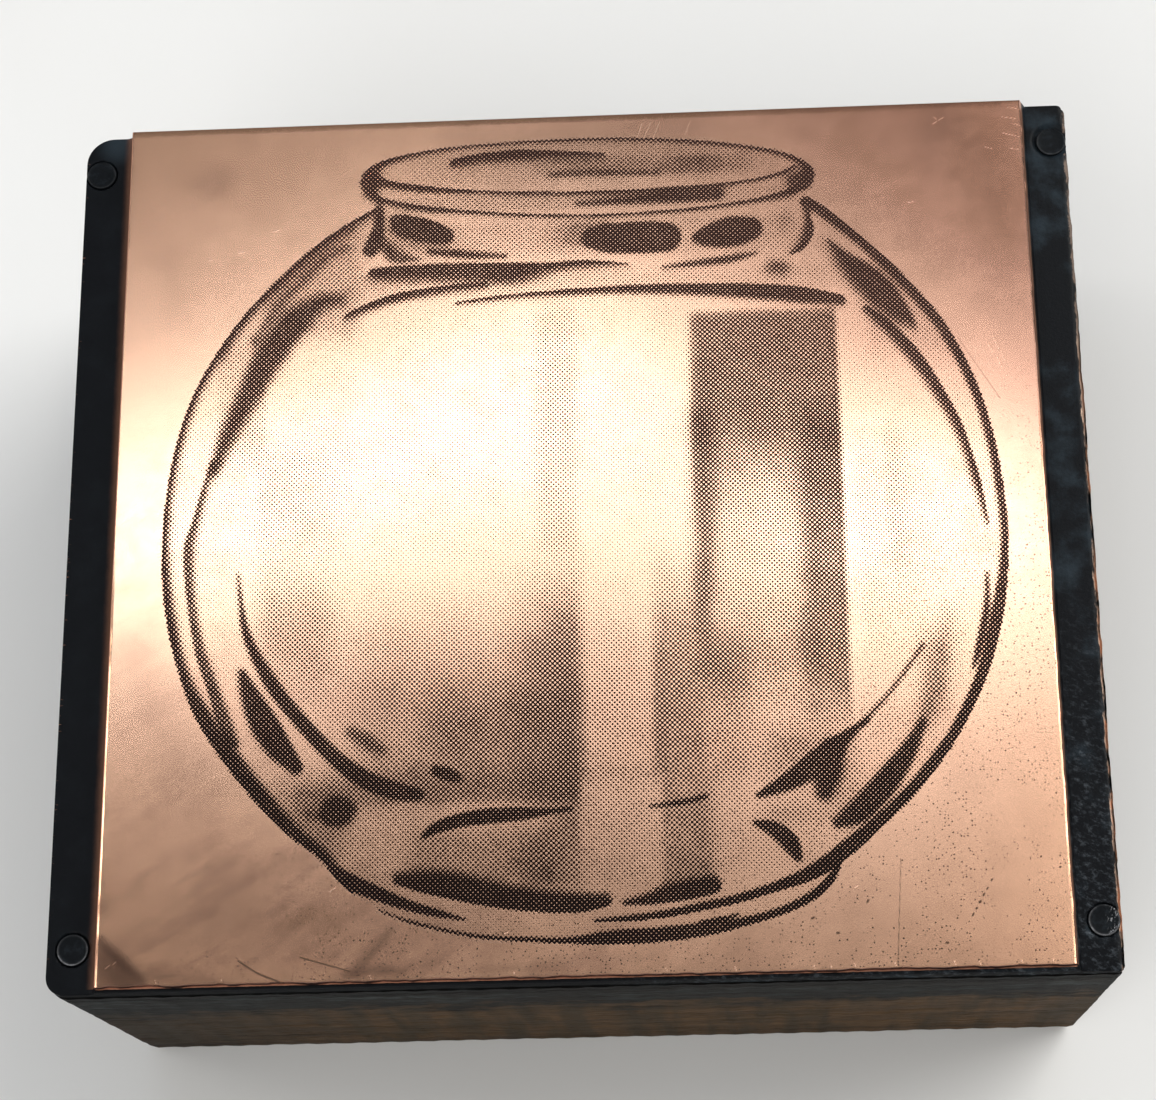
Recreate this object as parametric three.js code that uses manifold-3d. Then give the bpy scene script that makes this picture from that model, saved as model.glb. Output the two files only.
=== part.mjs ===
// A letterpress printing block: an etched copper halftone plate nailed to a hardwood base.
// Millimetres, +Z up, origin at the middle of the underside. +Y is the back edge of the picture.

import * as THREE from "three";
import { mergeVertices } from "three/addons/utils/BufferGeometryUtils.js";
import Module from "manifold-3d";

const wasm = await Module();
wasm.setup();

// The whole block
const blockWidth = 57.4;
const blockDepth = 50.8;
const typeHeight = 23.32;
const plateGauge = 1.63;

// Corners of the block in plan: plate and wood were rounded together
const cornerBackLeft = 1.6;
const cornerBackRight = 0.55;
const cornerFrontLeft = 1.0;
const cornerFrontRight = 0.3;

// The plate's nailing flanges, routed down at the left and right of the printing face
const flangeDrop = 0.8;
const flangeLeftWidth = 2.9;
const flangeRightWidth = 2.68;
const leftCoveRun = 0.62;
const leftCoveLand = 0.08;
const rightWallRun = 0.36;

// The right flange's outer edge is filed to bare copper
const filedWidth = 0.3;
const filedHeight = 0.45;

// The plate's front edge stands back from the wood and has one small step
const frontInset = 0.14;
const frontStepWidth = 0.3;
const frontStepDrop = 0.42;

// The wood's worn lower edges
const woodEdgeWear = 0.35;

// The brads, all alike
const nailLength = 12.7;
const nailHeadDiameter = 1.72;
const nailHeadThickness = 0.34;
const nailHeadEase = 0.07;
const nailHeadCrown = 0.04;
const nailShankDiameter = 0.9;
const nailNeckFlare = 0.12;
const nailPointLength = 1.5;
const gripRingCount = 3;
const gripRingPitch = 0.4;
const gripRingDepth = 0.04;
const gripRingStart = 0.5;

// The picture is etched into the face this deep
const etchDepth = 0.1;

// Fits
const nailClearance = 0.05;
const seatDepth = 0.22;
const seatMargin = 0.06;
const wideSeatMargin = 0.24;
const pilotOverdrill = 0.5;

// Cuts run past the surfaces that they open by this much
const overrun = 1;

const roundSteps = 24;
const arcSteps = 6;
const stepsBetweenPoints = 3;

// Heights and edges that follow from the sizes above
const woodHeight = typeHeight - plateGauge;
const flangeTop = typeHeight - flangeDrop;
const seatFloor = flangeTop - seatDepth;
const nailTop = seatFloor + nailHeadThickness;
const left = -blockWidth / 2;
const right = blockWidth / 2;
const front = -blockDepth / 2;
const back = blockDepth / 2;
const faceLeft = left + flangeLeftWidth;
const faceRight = right - flangeRightWidth;
const plateFront = front + frontInset;
const faceFront = plateFront + frontStepWidth;
const faceWidth = faceRight - faceLeft;
const faceDepth = back - faceFront;

// Each brad: its corner, how far its middle is from the nearest side and end, and the room round its head
const nails = [
  { name: "nail_back_left", side: -1, end: 1, fromSide: 0.92, fromEnd: 2.35, margin: seatMargin },
  { name: "nail_back_right", side: 1, end: 1, fromSide: 0.92, fromEnd: 2.3, margin: wideSeatMargin },
  { name: "nail_front_left", side: -1, end: -1, fromSide: 1.4, fromEnd: 2.57, margin: seatMargin },
  { name: "nail_front_right", side: 1, end: -1, fromSide: 0.98, fromEnd: 2.83, margin: seatMargin },
];

// The picture, a plain round glass bowl, as etched strokes. Each point gives its place from the face's
// back left corner as shares of the face's width and depth, and its half width as a share of the width.
const strokeShares = {
  rim_back: [
    [0.263, 0.075, 0.0039], [0.272, 0.062, 0.0058], [0.296, 0.049, 0.0039], [0.349, 0.038, 0.0024],
    [0.417, 0.033, 0.0021], [0.504, 0.031, 0.0021], [0.582, 0.034, 0.0023], [0.660, 0.042, 0.0025],
    [0.718, 0.054, 0.0029], [0.747, 0.066, 0.0039], [0.762, 0.081, 0.0048], [0.758, 0.094, 0.0068],
    [0.745, 0.104, 0.0039],
  ],
  rim_front_outer: [
    [0.264, 0.079, 0.0029], [0.274, 0.094, 0.0048], [0.291, 0.102, 0.0034], [0.330, 0.111, 0.0029],
    [0.388, 0.119, 0.0023], [0.466, 0.126, 0.0021], [0.543, 0.128, 0.0021], [0.621, 0.125, 0.0022],
    [0.689, 0.118, 0.0024], [0.737, 0.108, 0.0039], [0.757, 0.097, 0.0058],
  ],
  rim_front_inner: [
    [0.274, 0.071, 0.0068], [0.291, 0.079, 0.0048], [0.330, 0.087, 0.0044], [0.388, 0.093, 0.0025],
    [0.456, 0.097, 0.0021], [0.543, 0.099, 0.0023], [0.630, 0.097, 0.0025], [0.689, 0.092, 0.0023],
    [0.727, 0.084, 0.0021], [0.745, 0.075, 0.0019],
  ],
  rim_inside_top: [
    [0.365, 0.055, 0.0048], [0.388, 0.051, 0.0058], [0.436, 0.048, 0.0068], [0.485, 0.049, 0.0044],
    [0.533, 0.051, 0.0019],
  ],
  rim_front_tone: [
    [0.504, 0.112, 0.0019], [0.563, 0.109, 0.0048], [0.611, 0.106, 0.0078], [0.658, 0.105, 0.0082],
  ],
  neck_left: [
    [0.280, 0.107, 0.0039], [0.279, 0.124, 0.0068], [0.277, 0.144, 0.0078], [0.277, 0.161, 0.0078],
  ],
  neck_shade_left: [
    [0.299, 0.122, 0.0048], [0.308, 0.128, 0.0107], [0.335, 0.136, 0.0126], [0.357, 0.145, 0.0078],
  ],
  neck_shade_mid: [
    [0.524, 0.154, 0.0107], [0.548, 0.156, 0.0165], [0.582, 0.156, 0.0165], [0.607, 0.155, 0.0145],
  ],
  neck_shade_right: [
    [0.637, 0.157, 0.0068], [0.652, 0.155, 0.0126], [0.674, 0.152, 0.0165], [0.694, 0.150, 0.0126],
  ],
  neck_right: [
    [0.757, 0.117, 0.0029], [0.758, 0.139, 0.0039], [0.758, 0.157, 0.0068], [0.749, 0.175, 0.0048],
    [0.739, 0.183, 0.0019],
  ],
  neck_line: [
    [0.339, 0.166, 0.0029], [0.378, 0.171, 0.0044], [0.422, 0.175, 0.0015],
  ],
  neck_line_right: [
    [0.598, 0.195, 0.0015], [0.630, 0.192, 0.0039], [0.669, 0.188, 0.0053], [0.700, 0.182, 0.0015],
  ],
  shoulder_band: [
    [0.277, 0.192, 0.0078], [0.310, 0.192, 0.0097], [0.369, 0.193, 0.0116], [0.427, 0.196, 0.0126],
    [0.475, 0.191, 0.0068], [0.514, 0.188, 0.0048], [0.558, 0.190, 0.0015],
  ],
  shoulder_line_left: [
    [0.247, 0.243, 0.0024], [0.272, 0.232, 0.0048], [0.306, 0.221, 0.0048], [0.349, 0.214, 0.0039],
    [0.398, 0.210, 0.0039], [0.436, 0.205, 0.0029],
  ],
  shoulder_line_long: [
    [0.369, 0.231, 0.0015], [0.417, 0.226, 0.0024], [0.485, 0.222, 0.0029], [0.563, 0.219, 0.0039],
    [0.630, 0.222, 0.0063], [0.689, 0.226, 0.0078], [0.747, 0.234, 0.0087], [0.790, 0.242, 0.0058],
  ],
  outline_left: [
    [0.277, 0.114, 0.0048], [0.242, 0.135, 0.0044], [0.209, 0.161, 0.0048], [0.175, 0.195, 0.0048],
    [0.141, 0.234, 0.0048], [0.109, 0.282, 0.0044], [0.083, 0.334, 0.0039], [0.068, 0.385, 0.0039],
    [0.059, 0.437, 0.0035], [0.055, 0.497, 0.0039], [0.058, 0.556, 0.0048], [0.068, 0.616, 0.0053],
    [0.083, 0.667, 0.0058], [0.103, 0.709, 0.0087], [0.132, 0.753, 0.0097], [0.165, 0.798, 0.0087],
    [0.199, 0.837, 0.0068], [0.231, 0.864, 0.0053], [0.248, 0.886, 0.0048], [0.263, 0.906, 0.0015],
  ],
  wall_left: [
    [0.105, 0.417, 0.0048], [0.096, 0.447, 0.0039], [0.087, 0.487, 0.0044], [0.081, 0.516, 0.0063],
    [0.083, 0.556, 0.0053], [0.089, 0.598, 0.0053], [0.099, 0.641, 0.0063], [0.112, 0.677, 0.0068],
    [0.124, 0.711, 0.0078], [0.136, 0.739, 0.0058],
  ],
  shadow_left: [
    [0.239, 0.222, 0.0039], [0.215, 0.226, 0.0087], [0.190, 0.248, 0.0155], [0.167, 0.282, 0.0175],
    [0.147, 0.322, 0.0145], [0.130, 0.359, 0.0107], [0.115, 0.395, 0.0078], [0.105, 0.425, 0.0048],
  ],
  outline_right: [
    [0.758, 0.120, 0.0068], [0.776, 0.134, 0.0063], [0.805, 0.161, 0.0058], [0.839, 0.197, 0.0058],
    [0.870, 0.236, 0.0058], [0.897, 0.275, 0.0058], [0.920, 0.324, 0.0053], [0.936, 0.373, 0.0048],
    [0.947, 0.427, 0.0044], [0.952, 0.477, 0.0044], [0.954, 0.516, 0.0039], [0.952, 0.556, 0.0044],
    [0.945, 0.600, 0.0063], [0.936, 0.638, 0.0068], [0.925, 0.675, 0.0063], [0.910, 0.711, 0.0058],
    [0.888, 0.751, 0.0058], [0.866, 0.782, 0.0063], [0.839, 0.814, 0.0063], [0.805, 0.846, 0.0068],
    [0.772, 0.873, 0.0087], [0.739, 0.896, 0.0078], [0.700, 0.911, 0.0053], [0.660, 0.923, 0.0048],
    [0.621, 0.931, 0.0044], [0.572, 0.939, 0.0039], [0.514, 0.943, 0.0019],
  ],
  wall_right: [
    [0.818, 0.255, 0.0039], [0.836, 0.272, 0.0058], [0.855, 0.295, 0.0073], [0.875, 0.325, 0.0078],
    [0.893, 0.359, 0.0068], [0.910, 0.397, 0.0058], [0.920, 0.431, 0.0048], [0.928, 0.465, 0.0044],
    [0.933, 0.493, 0.0029], [0.937, 0.514, 0.0015],
  ],
  wall_right_low: [
    [0.933, 0.571, 0.0015], [0.931, 0.606, 0.0034], [0.925, 0.636, 0.0044], [0.919, 0.659, 0.0039],
    [0.913, 0.677, 0.0019],
  ],
  shadow_right: [
    [0.780, 0.170, 0.0029], [0.793, 0.190, 0.0097], [0.815, 0.214, 0.0165], [0.836, 0.238, 0.0175],
    [0.854, 0.260, 0.0116], [0.869, 0.276, 0.0029],
  ],
  sweep_left: [
    [0.135, 0.548, 0.0010], [0.139, 0.581, 0.0024], [0.145, 0.614, 0.0044], [0.159, 0.647, 0.0058],
    [0.180, 0.683, 0.0073], [0.210, 0.722, 0.0078], [0.242, 0.758, 0.0082], [0.276, 0.784, 0.0087],
    [0.308, 0.797, 0.0087], [0.330, 0.802, 0.0058],
  ],
  lens_left: [
    [0.142, 0.659, 0.0048], [0.151, 0.685, 0.0107], [0.165, 0.715, 0.0155], [0.180, 0.743, 0.0145],
    [0.196, 0.765, 0.0078],
  ],
  spot_left: [
    [0.239, 0.823, 0.0087], [0.253, 0.824, 0.0136], [0.264, 0.823, 0.0097],
  ],
  spot_mid: [
    [0.349, 0.776, 0.0048], [0.361, 0.780, 0.0068], [0.372, 0.785, 0.0039],
  ],
  base_arc: [
    [0.337, 0.847, 0.0024], [0.351, 0.838, 0.0058], [0.376, 0.831, 0.0073], [0.407, 0.827, 0.0078],
    [0.436, 0.826, 0.0068], [0.466, 0.824, 0.0029], [0.490, 0.822, 0.0015],
  ],
  base_band: [
    [0.312, 0.893, 0.0058], [0.339, 0.897, 0.0107], [0.378, 0.906, 0.0126], [0.417, 0.915, 0.0116],
    [0.456, 0.921, 0.0107], [0.495, 0.924, 0.0097], [0.524, 0.922, 0.0068],
  ],
  base_band_right: [
    [0.545, 0.925, 0.0024], [0.572, 0.921, 0.0058], [0.601, 0.916, 0.0078], [0.635, 0.910, 0.0068],
  ],
  foot_left: [
    [0.244, 0.881, 0.0039], [0.264, 0.896, 0.0078], [0.291, 0.909, 0.0073], [0.320, 0.921, 0.0058],
    [0.349, 0.930, 0.0044], [0.380, 0.938, 0.0015],
  ],
  foot_low: [
    [0.291, 0.926, 0.0010], [0.320, 0.938, 0.0017], [0.359, 0.949, 0.0019], [0.398, 0.957, 0.0021],
    [0.446, 0.961, 0.0025], [0.490, 0.963, 0.0039], [0.529, 0.961, 0.0073], [0.582, 0.959, 0.0078],
    [0.630, 0.954, 0.0073], [0.669, 0.947, 0.0048], [0.702, 0.938, 0.0044], [0.731, 0.925, 0.0048],
    [0.752, 0.909, 0.0048], [0.765, 0.888, 0.0029],
  ],
  wing_right: [
    [0.685, 0.812, 0.0029], [0.710, 0.801, 0.0078], [0.735, 0.786, 0.0116], [0.758, 0.768, 0.0116],
    [0.778, 0.750, 0.0058], [0.799, 0.733, 0.0019],
  ],
  lens_right: [
    [0.766, 0.844, 0.0058], [0.788, 0.832, 0.0126], [0.811, 0.808, 0.0136], [0.830, 0.784, 0.0116],
    [0.846, 0.759, 0.0078], [0.857, 0.737, 0.0039],
  ],
  crescent: [
    [0.681, 0.842, 0.0029], [0.700, 0.850, 0.0078], [0.715, 0.864, 0.0092], [0.723, 0.880, 0.0048],
  ],
};

const nailX = (nail) => nail.side * (blockWidth / 2 - nail.fromSide);
const nailY = (nail) => nail.end * (blockDepth / 2 - nail.fromEnd);

const copper = new THREE.MeshStandardMaterial({ color: 0xc08a6c, roughness: 0.3, metalness: 1 });
const hardwood = new THREE.MeshStandardMaterial({ color: 0x6f5f4b, roughness: 0.75, metalness: 0 });
const inkedSteel = new THREE.MeshStandardMaterial({ color: 0x26282c, roughness: 0.45, metalness: 0.8 });

// A closed geometry as a solid for joining and cutting
function solid(geometry) {
  const bare = geometry.clone();
  bare.deleteAttribute("normal");
  bare.deleteAttribute("uv");
  const merged = mergeVertices(bare);
  return new wasm.Manifold(
    new wasm.Mesh({
      numProp: 3,
      vertProperties: merged.attributes.position.array,
      triVerts: new Uint32Array(merged.index.array),
    }),
  );
}

// A solid as one named mesh
function piece(name, body, material) {
  const cut = body.getMesh();
  const geometry = new THREE.BufferGeometry();
  geometry.setAttribute("position", new THREE.BufferAttribute(cut.vertProperties, 3));
  geometry.setIndex(new THREE.BufferAttribute(cut.triVerts, 1));
  geometry.computeVertexNormals();
  const mesh = new THREE.Mesh(geometry, material);
  mesh.name = name;
  return mesh;
}

// The block's plan outline, with a different radius at each corner
function planOutline() {
  const shape = new THREE.Shape();
  shape.moveTo(left + cornerFrontLeft, front);
  shape.lineTo(right - cornerFrontRight, front);
  shape.absarc(right - cornerFrontRight, front + cornerFrontRight, cornerFrontRight, -Math.PI / 2, 0);
  shape.lineTo(right, back - cornerBackRight);
  shape.absarc(right - cornerBackRight, back - cornerBackRight, cornerBackRight, 0, Math.PI / 2);
  shape.lineTo(left + cornerBackLeft, back);
  shape.absarc(left + cornerBackLeft, back - cornerBackLeft, cornerBackLeft, Math.PI / 2, Math.PI);
  shape.lineTo(left, front + cornerFrontLeft);
  shape.absarc(left + cornerFrontLeft, front + cornerFrontLeft, cornerFrontLeft, Math.PI, 1.5 * Math.PI);
  return shape;
}

// A straight prism on the plan outline, from one height to another
function planPrism(bottom, top) {
  const options = { depth: top - bottom, bevelEnabled: false, curveSegments: arcSteps };
  return solid(new THREE.ExtrudeGeometry(planOutline(), options).translate(0, 0, bottom));
}

// A box between two corners
function block(low, high) {
  const size = high.map((value, i) => value - low[i]);
  const middle = high.map((value, i) => (value + low[i]) / 2);
  return solid(new THREE.BoxGeometry(...size).translate(...middle));
}

// An upright cylinder at a brad's place
function drill(nail, radius, bottom, top) {
  const bore = new THREE.CylinderGeometry(radius, radius, top - bottom, roundSteps);
  return solid(bore.rotateX(Math.PI / 2).translate(nailX(nail), nailY(nail), (top + bottom) / 2));
}

// The plate's section across its width: flange, coved wall, face, sloped wall, filed flange
function plateSection() {
  const shape = new THREE.Shape();
  shape.moveTo(left, woodHeight);
  shape.lineTo(right, woodHeight);
  shape.lineTo(right, flangeTop - filedHeight);
  shape.lineTo(right - filedWidth, flangeTop);
  shape.lineTo(faceRight + rightWallRun, flangeTop);
  shape.lineTo(faceRight, typeHeight);
  shape.lineTo(faceLeft, typeHeight);
  shape.lineTo(faceLeft - leftCoveLand, typeHeight - leftCoveLand);
  shape.quadraticCurveTo(faceLeft - leftCoveLand, flangeTop, faceLeft - leftCoveRun, flangeTop);
  shape.lineTo(left, flangeTop);
  return shape;
}

// One stroke of the picture, from the bottom of the etching to above the face
function strokePrism(points) {
  const placed = points.map(
    ([across, down, half]) =>
      new THREE.Vector3(faceLeft + across * faceWidth, back - down * faceDepth, half * faceWidth),
  );
  const path = new THREE.CatmullRomCurve3(placed, false, "catmullrom", 0.5);
  const middles = path.getPoints((points.length - 1) * stepsBetweenPoints);
  const oneSide = [];
  const otherSide = [];
  middles.forEach((middle, i) => {
    const before = middles[Math.max(i - 1, 0)];
    const after = middles[Math.min(i + 1, middles.length - 1)];
    const along = new THREE.Vector2(after.x - before.x, after.y - before.y).normalize();
    oneSide.push(new THREE.Vector2(middle.x - along.y * middle.z, middle.y + along.x * middle.z));
    otherSide.unshift(new THREE.Vector2(middle.x + along.y * middle.z, middle.y - along.x * middle.z));
  });
  const options = { depth: etchDepth + overrun, bevelEnabled: false };
  const prism = new THREE.ExtrudeGeometry(new THREE.Shape([...oneSide, ...otherSide]), options);
  return solid(prism.translate(0, 0, typeHeight - etchDepth));
}

// The etched plate, with its two flanges, front step, and the seats and holes of the brads
function halftonePlate() {
  const options = { depth: back - plateFront, bevelEnabled: false, curveSegments: arcSteps };
  const bar = new THREE.ExtrudeGeometry(plateSection(), options);
  // The section's own depth runs along +Z, so the bar is turned to run from the back to the front
  bar.rotateX(Math.PI / 2).translate(0, back, 0);
  const step = block(
    [left - overrun, plateFront - overrun, typeHeight - frontStepDrop],
    [right + overrun, faceFront, typeHeight + overrun],
  );
  let plate = solid(bar).intersect(planPrism(woodHeight, typeHeight)).subtract(step);
  for (const nail of nails) {
    const seatRadius = nailHeadDiameter / 2 + nail.margin;
    const holeRadius = nailShankDiameter / 2 + nailNeckFlare + nailClearance;
    plate = plate.subtract(drill(nail, seatRadius, seatFloor, flangeTop + overrun));
    plate = plate.subtract(drill(nail, holeRadius, woodHeight - overrun, flangeTop + overrun));
  }
  const etching = Object.values(strokeShares)
    .map(strokePrism)
    .reduce((joined, stroke) => joined.add(stroke));
  plate = plate.subtract(etching);
  return piece("halftone_plate", plate, copper);
}

// A section with worn lower corners, from one side to the other, as high as the wood
function wornSection(low, high) {
  const shape = new THREE.Shape();
  shape.moveTo(low + woodEdgeWear, 0);
  shape.lineTo(high - woodEdgeWear, 0);
  shape.absarc(high - woodEdgeWear, woodEdgeWear, woodEdgeWear, -Math.PI / 2, 0);
  shape.lineTo(high, woodHeight);
  shape.lineTo(low, woodHeight);
  shape.lineTo(low, woodEdgeWear);
  shape.absarc(low + woodEdgeWear, woodEdgeWear, woodEdgeWear, Math.PI, 1.5 * Math.PI);
  return shape;
}

// The base: square with the plate above, its lower edges worn, drilled for the brads
function woodBlock() {
  const runDepth = { depth: blockDepth + 2 * overrun, bevelEnabled: false, curveSegments: arcSteps };
  const runWidth = { depth: blockWidth + 2 * overrun, bevelEnabled: false, curveSegments: arcSteps };
  const alongDepth = new THREE.ExtrudeGeometry(wornSection(left, right), runDepth);
  const alongWidth = new THREE.ExtrudeGeometry(wornSection(front, back), runWidth);
  alongDepth.rotateX(Math.PI / 2).translate(0, back + overrun, 0);
  alongWidth.rotateX(Math.PI / 2).rotateZ(Math.PI / 2).translate(left - overrun, 0, 0);
  let wood = planPrism(0, woodHeight).intersect(solid(alongDepth)).intersect(solid(alongWidth));
  const holeBottom = seatFloor - nailLength - pilotOverdrill;
  const holeRadius = nailShankDiameter / 2 + nailClearance;
  for (const nail of nails) {
    wood = wood.subtract(drill(nail, holeRadius, holeBottom, woodHeight + overrun));
  }
  return piece("wood_block", wood, hardwood);
}

// A brad's outline from its tip to the middle of its head, with grip rings under the head
function nailProfile() {
  const headRadius = nailHeadDiameter / 2;
  const shankRadius = nailShankDiameter / 2;
  const points = [
    [0, seatFloor - nailLength],
    [shankRadius, seatFloor - nailLength],
  ];
  for (let ring = gripRingCount; ring > 0; ring -= 1) {
    const middle = seatFloor - gripRingStart - ring * gripRingPitch;
    points.push([shankRadius, middle - gripRingPitch / 2]);
    points.push([shankRadius - gripRingDepth, middle]);
  }
  points.push([shankRadius, seatFloor - gripRingStart]);
  points.push([shankRadius + nailNeckFlare, seatFloor]);
  points.push([headRadius, seatFloor]);
  points.push([headRadius, nailTop - nailHeadCrown - nailHeadEase]);
  points.push([headRadius - nailHeadEase, nailTop - nailHeadCrown]);
  points.push([0, nailTop]);
  return points.map(([radius, height]) => new THREE.Vector2(radius, height));
}

// One brad with a four-sided point
function brad(nail) {
  const turned = new THREE.LatheGeometry(nailProfile(), roundSteps).rotateX(Math.PI / 2);
  const pointTop = seatFloor - nailLength + nailPointLength;
  const pyramidRadius = nailShankDiameter / Math.SQRT2;
  const pyramid = new THREE.ConeGeometry(pyramidRadius, nailPointLength, 4);
  pyramid.rotateX(-Math.PI / 2).translate(0, 0, pointTop - nailPointLength / 2);
  const kept = solid(pyramid).add(
    block([-blockWidth, -blockDepth, pointTop], [blockWidth, blockDepth, typeHeight]),
  );
  const mesh = piece(nail.name, solid(turned).intersect(kept), inkedSteel);
  mesh.position.set(nailX(nail), nailY(nail), 0);
  return mesh;
}

const printingBlock = new THREE.Group();
printingBlock.add(halftonePlate(), woodBlock(), ...nails.map(brad));

export default printingBlock;
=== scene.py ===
import math

import bmesh
import bpy
import numpy as np
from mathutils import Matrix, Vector, noise


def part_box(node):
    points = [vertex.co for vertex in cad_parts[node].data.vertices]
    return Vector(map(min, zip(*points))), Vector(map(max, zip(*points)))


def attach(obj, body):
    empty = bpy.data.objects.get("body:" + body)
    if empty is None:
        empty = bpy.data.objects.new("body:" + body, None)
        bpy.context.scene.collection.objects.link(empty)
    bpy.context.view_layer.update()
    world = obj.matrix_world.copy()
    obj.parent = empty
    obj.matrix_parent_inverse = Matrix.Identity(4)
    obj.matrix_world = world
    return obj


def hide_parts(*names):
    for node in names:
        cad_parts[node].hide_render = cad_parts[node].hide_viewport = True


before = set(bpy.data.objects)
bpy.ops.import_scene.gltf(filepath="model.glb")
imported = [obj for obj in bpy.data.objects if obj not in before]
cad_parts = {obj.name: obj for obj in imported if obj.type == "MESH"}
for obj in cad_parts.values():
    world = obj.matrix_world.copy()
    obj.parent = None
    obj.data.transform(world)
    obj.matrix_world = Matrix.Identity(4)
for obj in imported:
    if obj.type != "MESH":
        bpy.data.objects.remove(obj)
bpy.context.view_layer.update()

MM = 0.001

# Two places nearer than this are one place
ROUNDING = 1e-7

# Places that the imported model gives
plate_low, plate_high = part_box("halftone_plate")
wood_low, wood_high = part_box("wood_block")
LEFT, RIGHT = plate_low.x, plate_high.x
PLATE_FRONT, BACK = plate_low.y, plate_high.y
WOOD_TOP, TYPE_HEIGHT = plate_low.z, plate_high.z

# The plate's raised face and the flanges beside it, as in the model
FLANGE_DROP = 0.8 * MM
FLANGE_LEFT_WIDTH = 2.9 * MM
FLANGE_RIGHT_WIDTH = 2.68 * MM
COVE_RUN = 0.62 * MM
COVE_LAND = 0.08 * MM
WALL_RUN = 0.36 * MM
FILED_WIDTH = 0.3 * MM
FILED_HEIGHT = 0.45 * MM
STEP_WIDTH = 0.3 * MM
STEP_DROP = 0.42 * MM
STEP_WALL_RUN = 0.06 * MM
FACE_LEFT = LEFT + FLANGE_LEFT_WIDTH
FACE_RIGHT = RIGHT - FLANGE_RIGHT_WIDTH
FACE_FRONT = PLATE_FRONT + STEP_WIDTH
FACE_WIDTH = FACE_RIGHT - FACE_LEFT
FACE_DEPTH = BACK - FACE_FRONT
FLANGE_TOP = TYPE_HEIGHT - FLANGE_DROP

# Corners in plan, as (side, end, radius)
CORNERS = [(-1, 1, 1.6 * MM), (1, 1, 0.55 * MM), (-1, -1, 1.0 * MM), (1, -1, 0.3 * MM)]

# The plate's mesh: cell sizes before they are halved, the rounding of its edges, and how high above the
# wood a line of vertices runs round its sides
FACE_CELL = 0.4 * MM
FLANGE_CELL = 0.3 * MM
COVE_STEPS = 8
WALL_STEPS = 4
FILE_STEPS = 3
EDGE_EASE = 0.06 * MM
WAIST_HEIGHT = 0.6 * MM

# Where the plate's cells are halved, and halved again: how far outside and inside a stroke's edge, how far
# from a fine mark and from a brad's dimple, and how dark a stain or a patch of painted shade has to be
WIDE_STROKE_REACH = (0.45 * MM, 0.60 * MM)
CLOSE_STROKE_REACH = (0.22 * MM, 0.30 * MM)
MARK_REACHES = (0.3 * MM, 0.2 * MM, 0.1 * MM)
DIMPLE_REACH = 0.2 * MM
FINE_STAIN_AND_SHADE = 0.3

# Faces less than this below type height are the printing face
FACE_TOLERANCE = 0.07 * MM

# The worn rims along the face's left and right edges: their size, where on each side the wear starts, and
# the way in which it grows to its full depth
RIM_WIDTH = 0.10 * MM
RIM_DROP = 0.018 * MM
RIM_EASE = 0.02 * MM
LEFT_WEAR_START = 0.5 * MM
RIGHT_WEAR_START = 9 * MM
WEAR_RUN = 9 * MM

# The filed edge is milder towards the back
MILD_START = 8 * MM
MILD_RUN = 8 * MM
MILD_SHARE = 0.7

# How ragged the edges are that were cut by hand. Each waver is a depth, a length and a seed, and each
# reach is how far from its edge a waver is felt
RIM_WAVERS = [(0.35, 0.8 * MM, 6.0), (0.25, 0.3 * MM, 4.0)]
STEP_WAVERS = [(0.05 * MM, 0.7 * MM, 3.0), (0.025 * MM, 0.2 * MM, 9.0)]
WALL_WAVERS = [(0.04 * MM, 0.9 * MM, 5.0), (0.02 * MM, 0.25 * MM, 1.0)]
FILED_WAVERS = [(0.10 * MM, 2.2 * MM, 7.0), (0.05 * MM, 0.5 * MM, 2.0)]
STEP_REACH = 0.35 * MM
WALL_REACH = 0.3 * MM
FILED_REACH = 0.4 * MM

# The dimples that the brads were driven into, and each brad: how wide its dimple's slope is, how far its
# head is sunk below the model's, how rubbed the head's rim is and how scarred its right side
SEAT_DEPTH = 0.22 * MM
SEAT_MARGIN = 0.09 * MM
WIDE_SEAT_MARGIN = 0.34 * MM
BRADS = {
    "nail_back_left": {"margin": SEAT_MARGIN, "sunk": 0.08 * MM, "rub": 0.12, "scar": 0.0},
    "nail_back_right": {"margin": WIDE_SEAT_MARGIN, "sunk": 0.18 * MM, "rub": 0.16, "scar": 0.0},
    "nail_front_left": {"margin": SEAT_MARGIN, "sunk": 0.08 * MM, "rub": 0.8, "scar": 0.0},
    "nail_front_right": {"margin": SEAT_MARGIN, "sunk": 0.08 * MM, "rub": 1.0, "scar": 1.0},
}

# A brad. The head's outline is shares of its radius, and depths below its rim
SHANK_RADIUS = 0.45 * MM
NECK_FLARE = 0.12 * MM
NECK_LENGTH = 0.5 * MM
POINT_LENGTH = 1.5 * MM
HEAD_THICKNESS = 0.34 * MM
HEAD_OUTLINE_SHARES = [
    (0.0, 0.030 * MM), (0.45, 0.030 * MM), (0.80, 0.028 * MM), (0.88, 0.020 * MM), (0.92, 0.0),
    (0.96, 0.004 * MM), (0.99, 0.030 * MM), (1.0, 0.080 * MM), (1.0, HEAD_THICKNESS),
]
HEAD_RIM_SHARE = 0.93
HEAD_RIM_WIDTH_SHARE = 0.06
HEAD_RIM_DEPTH = 0.06 * MM
BRAD_STEPS = 48

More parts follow.
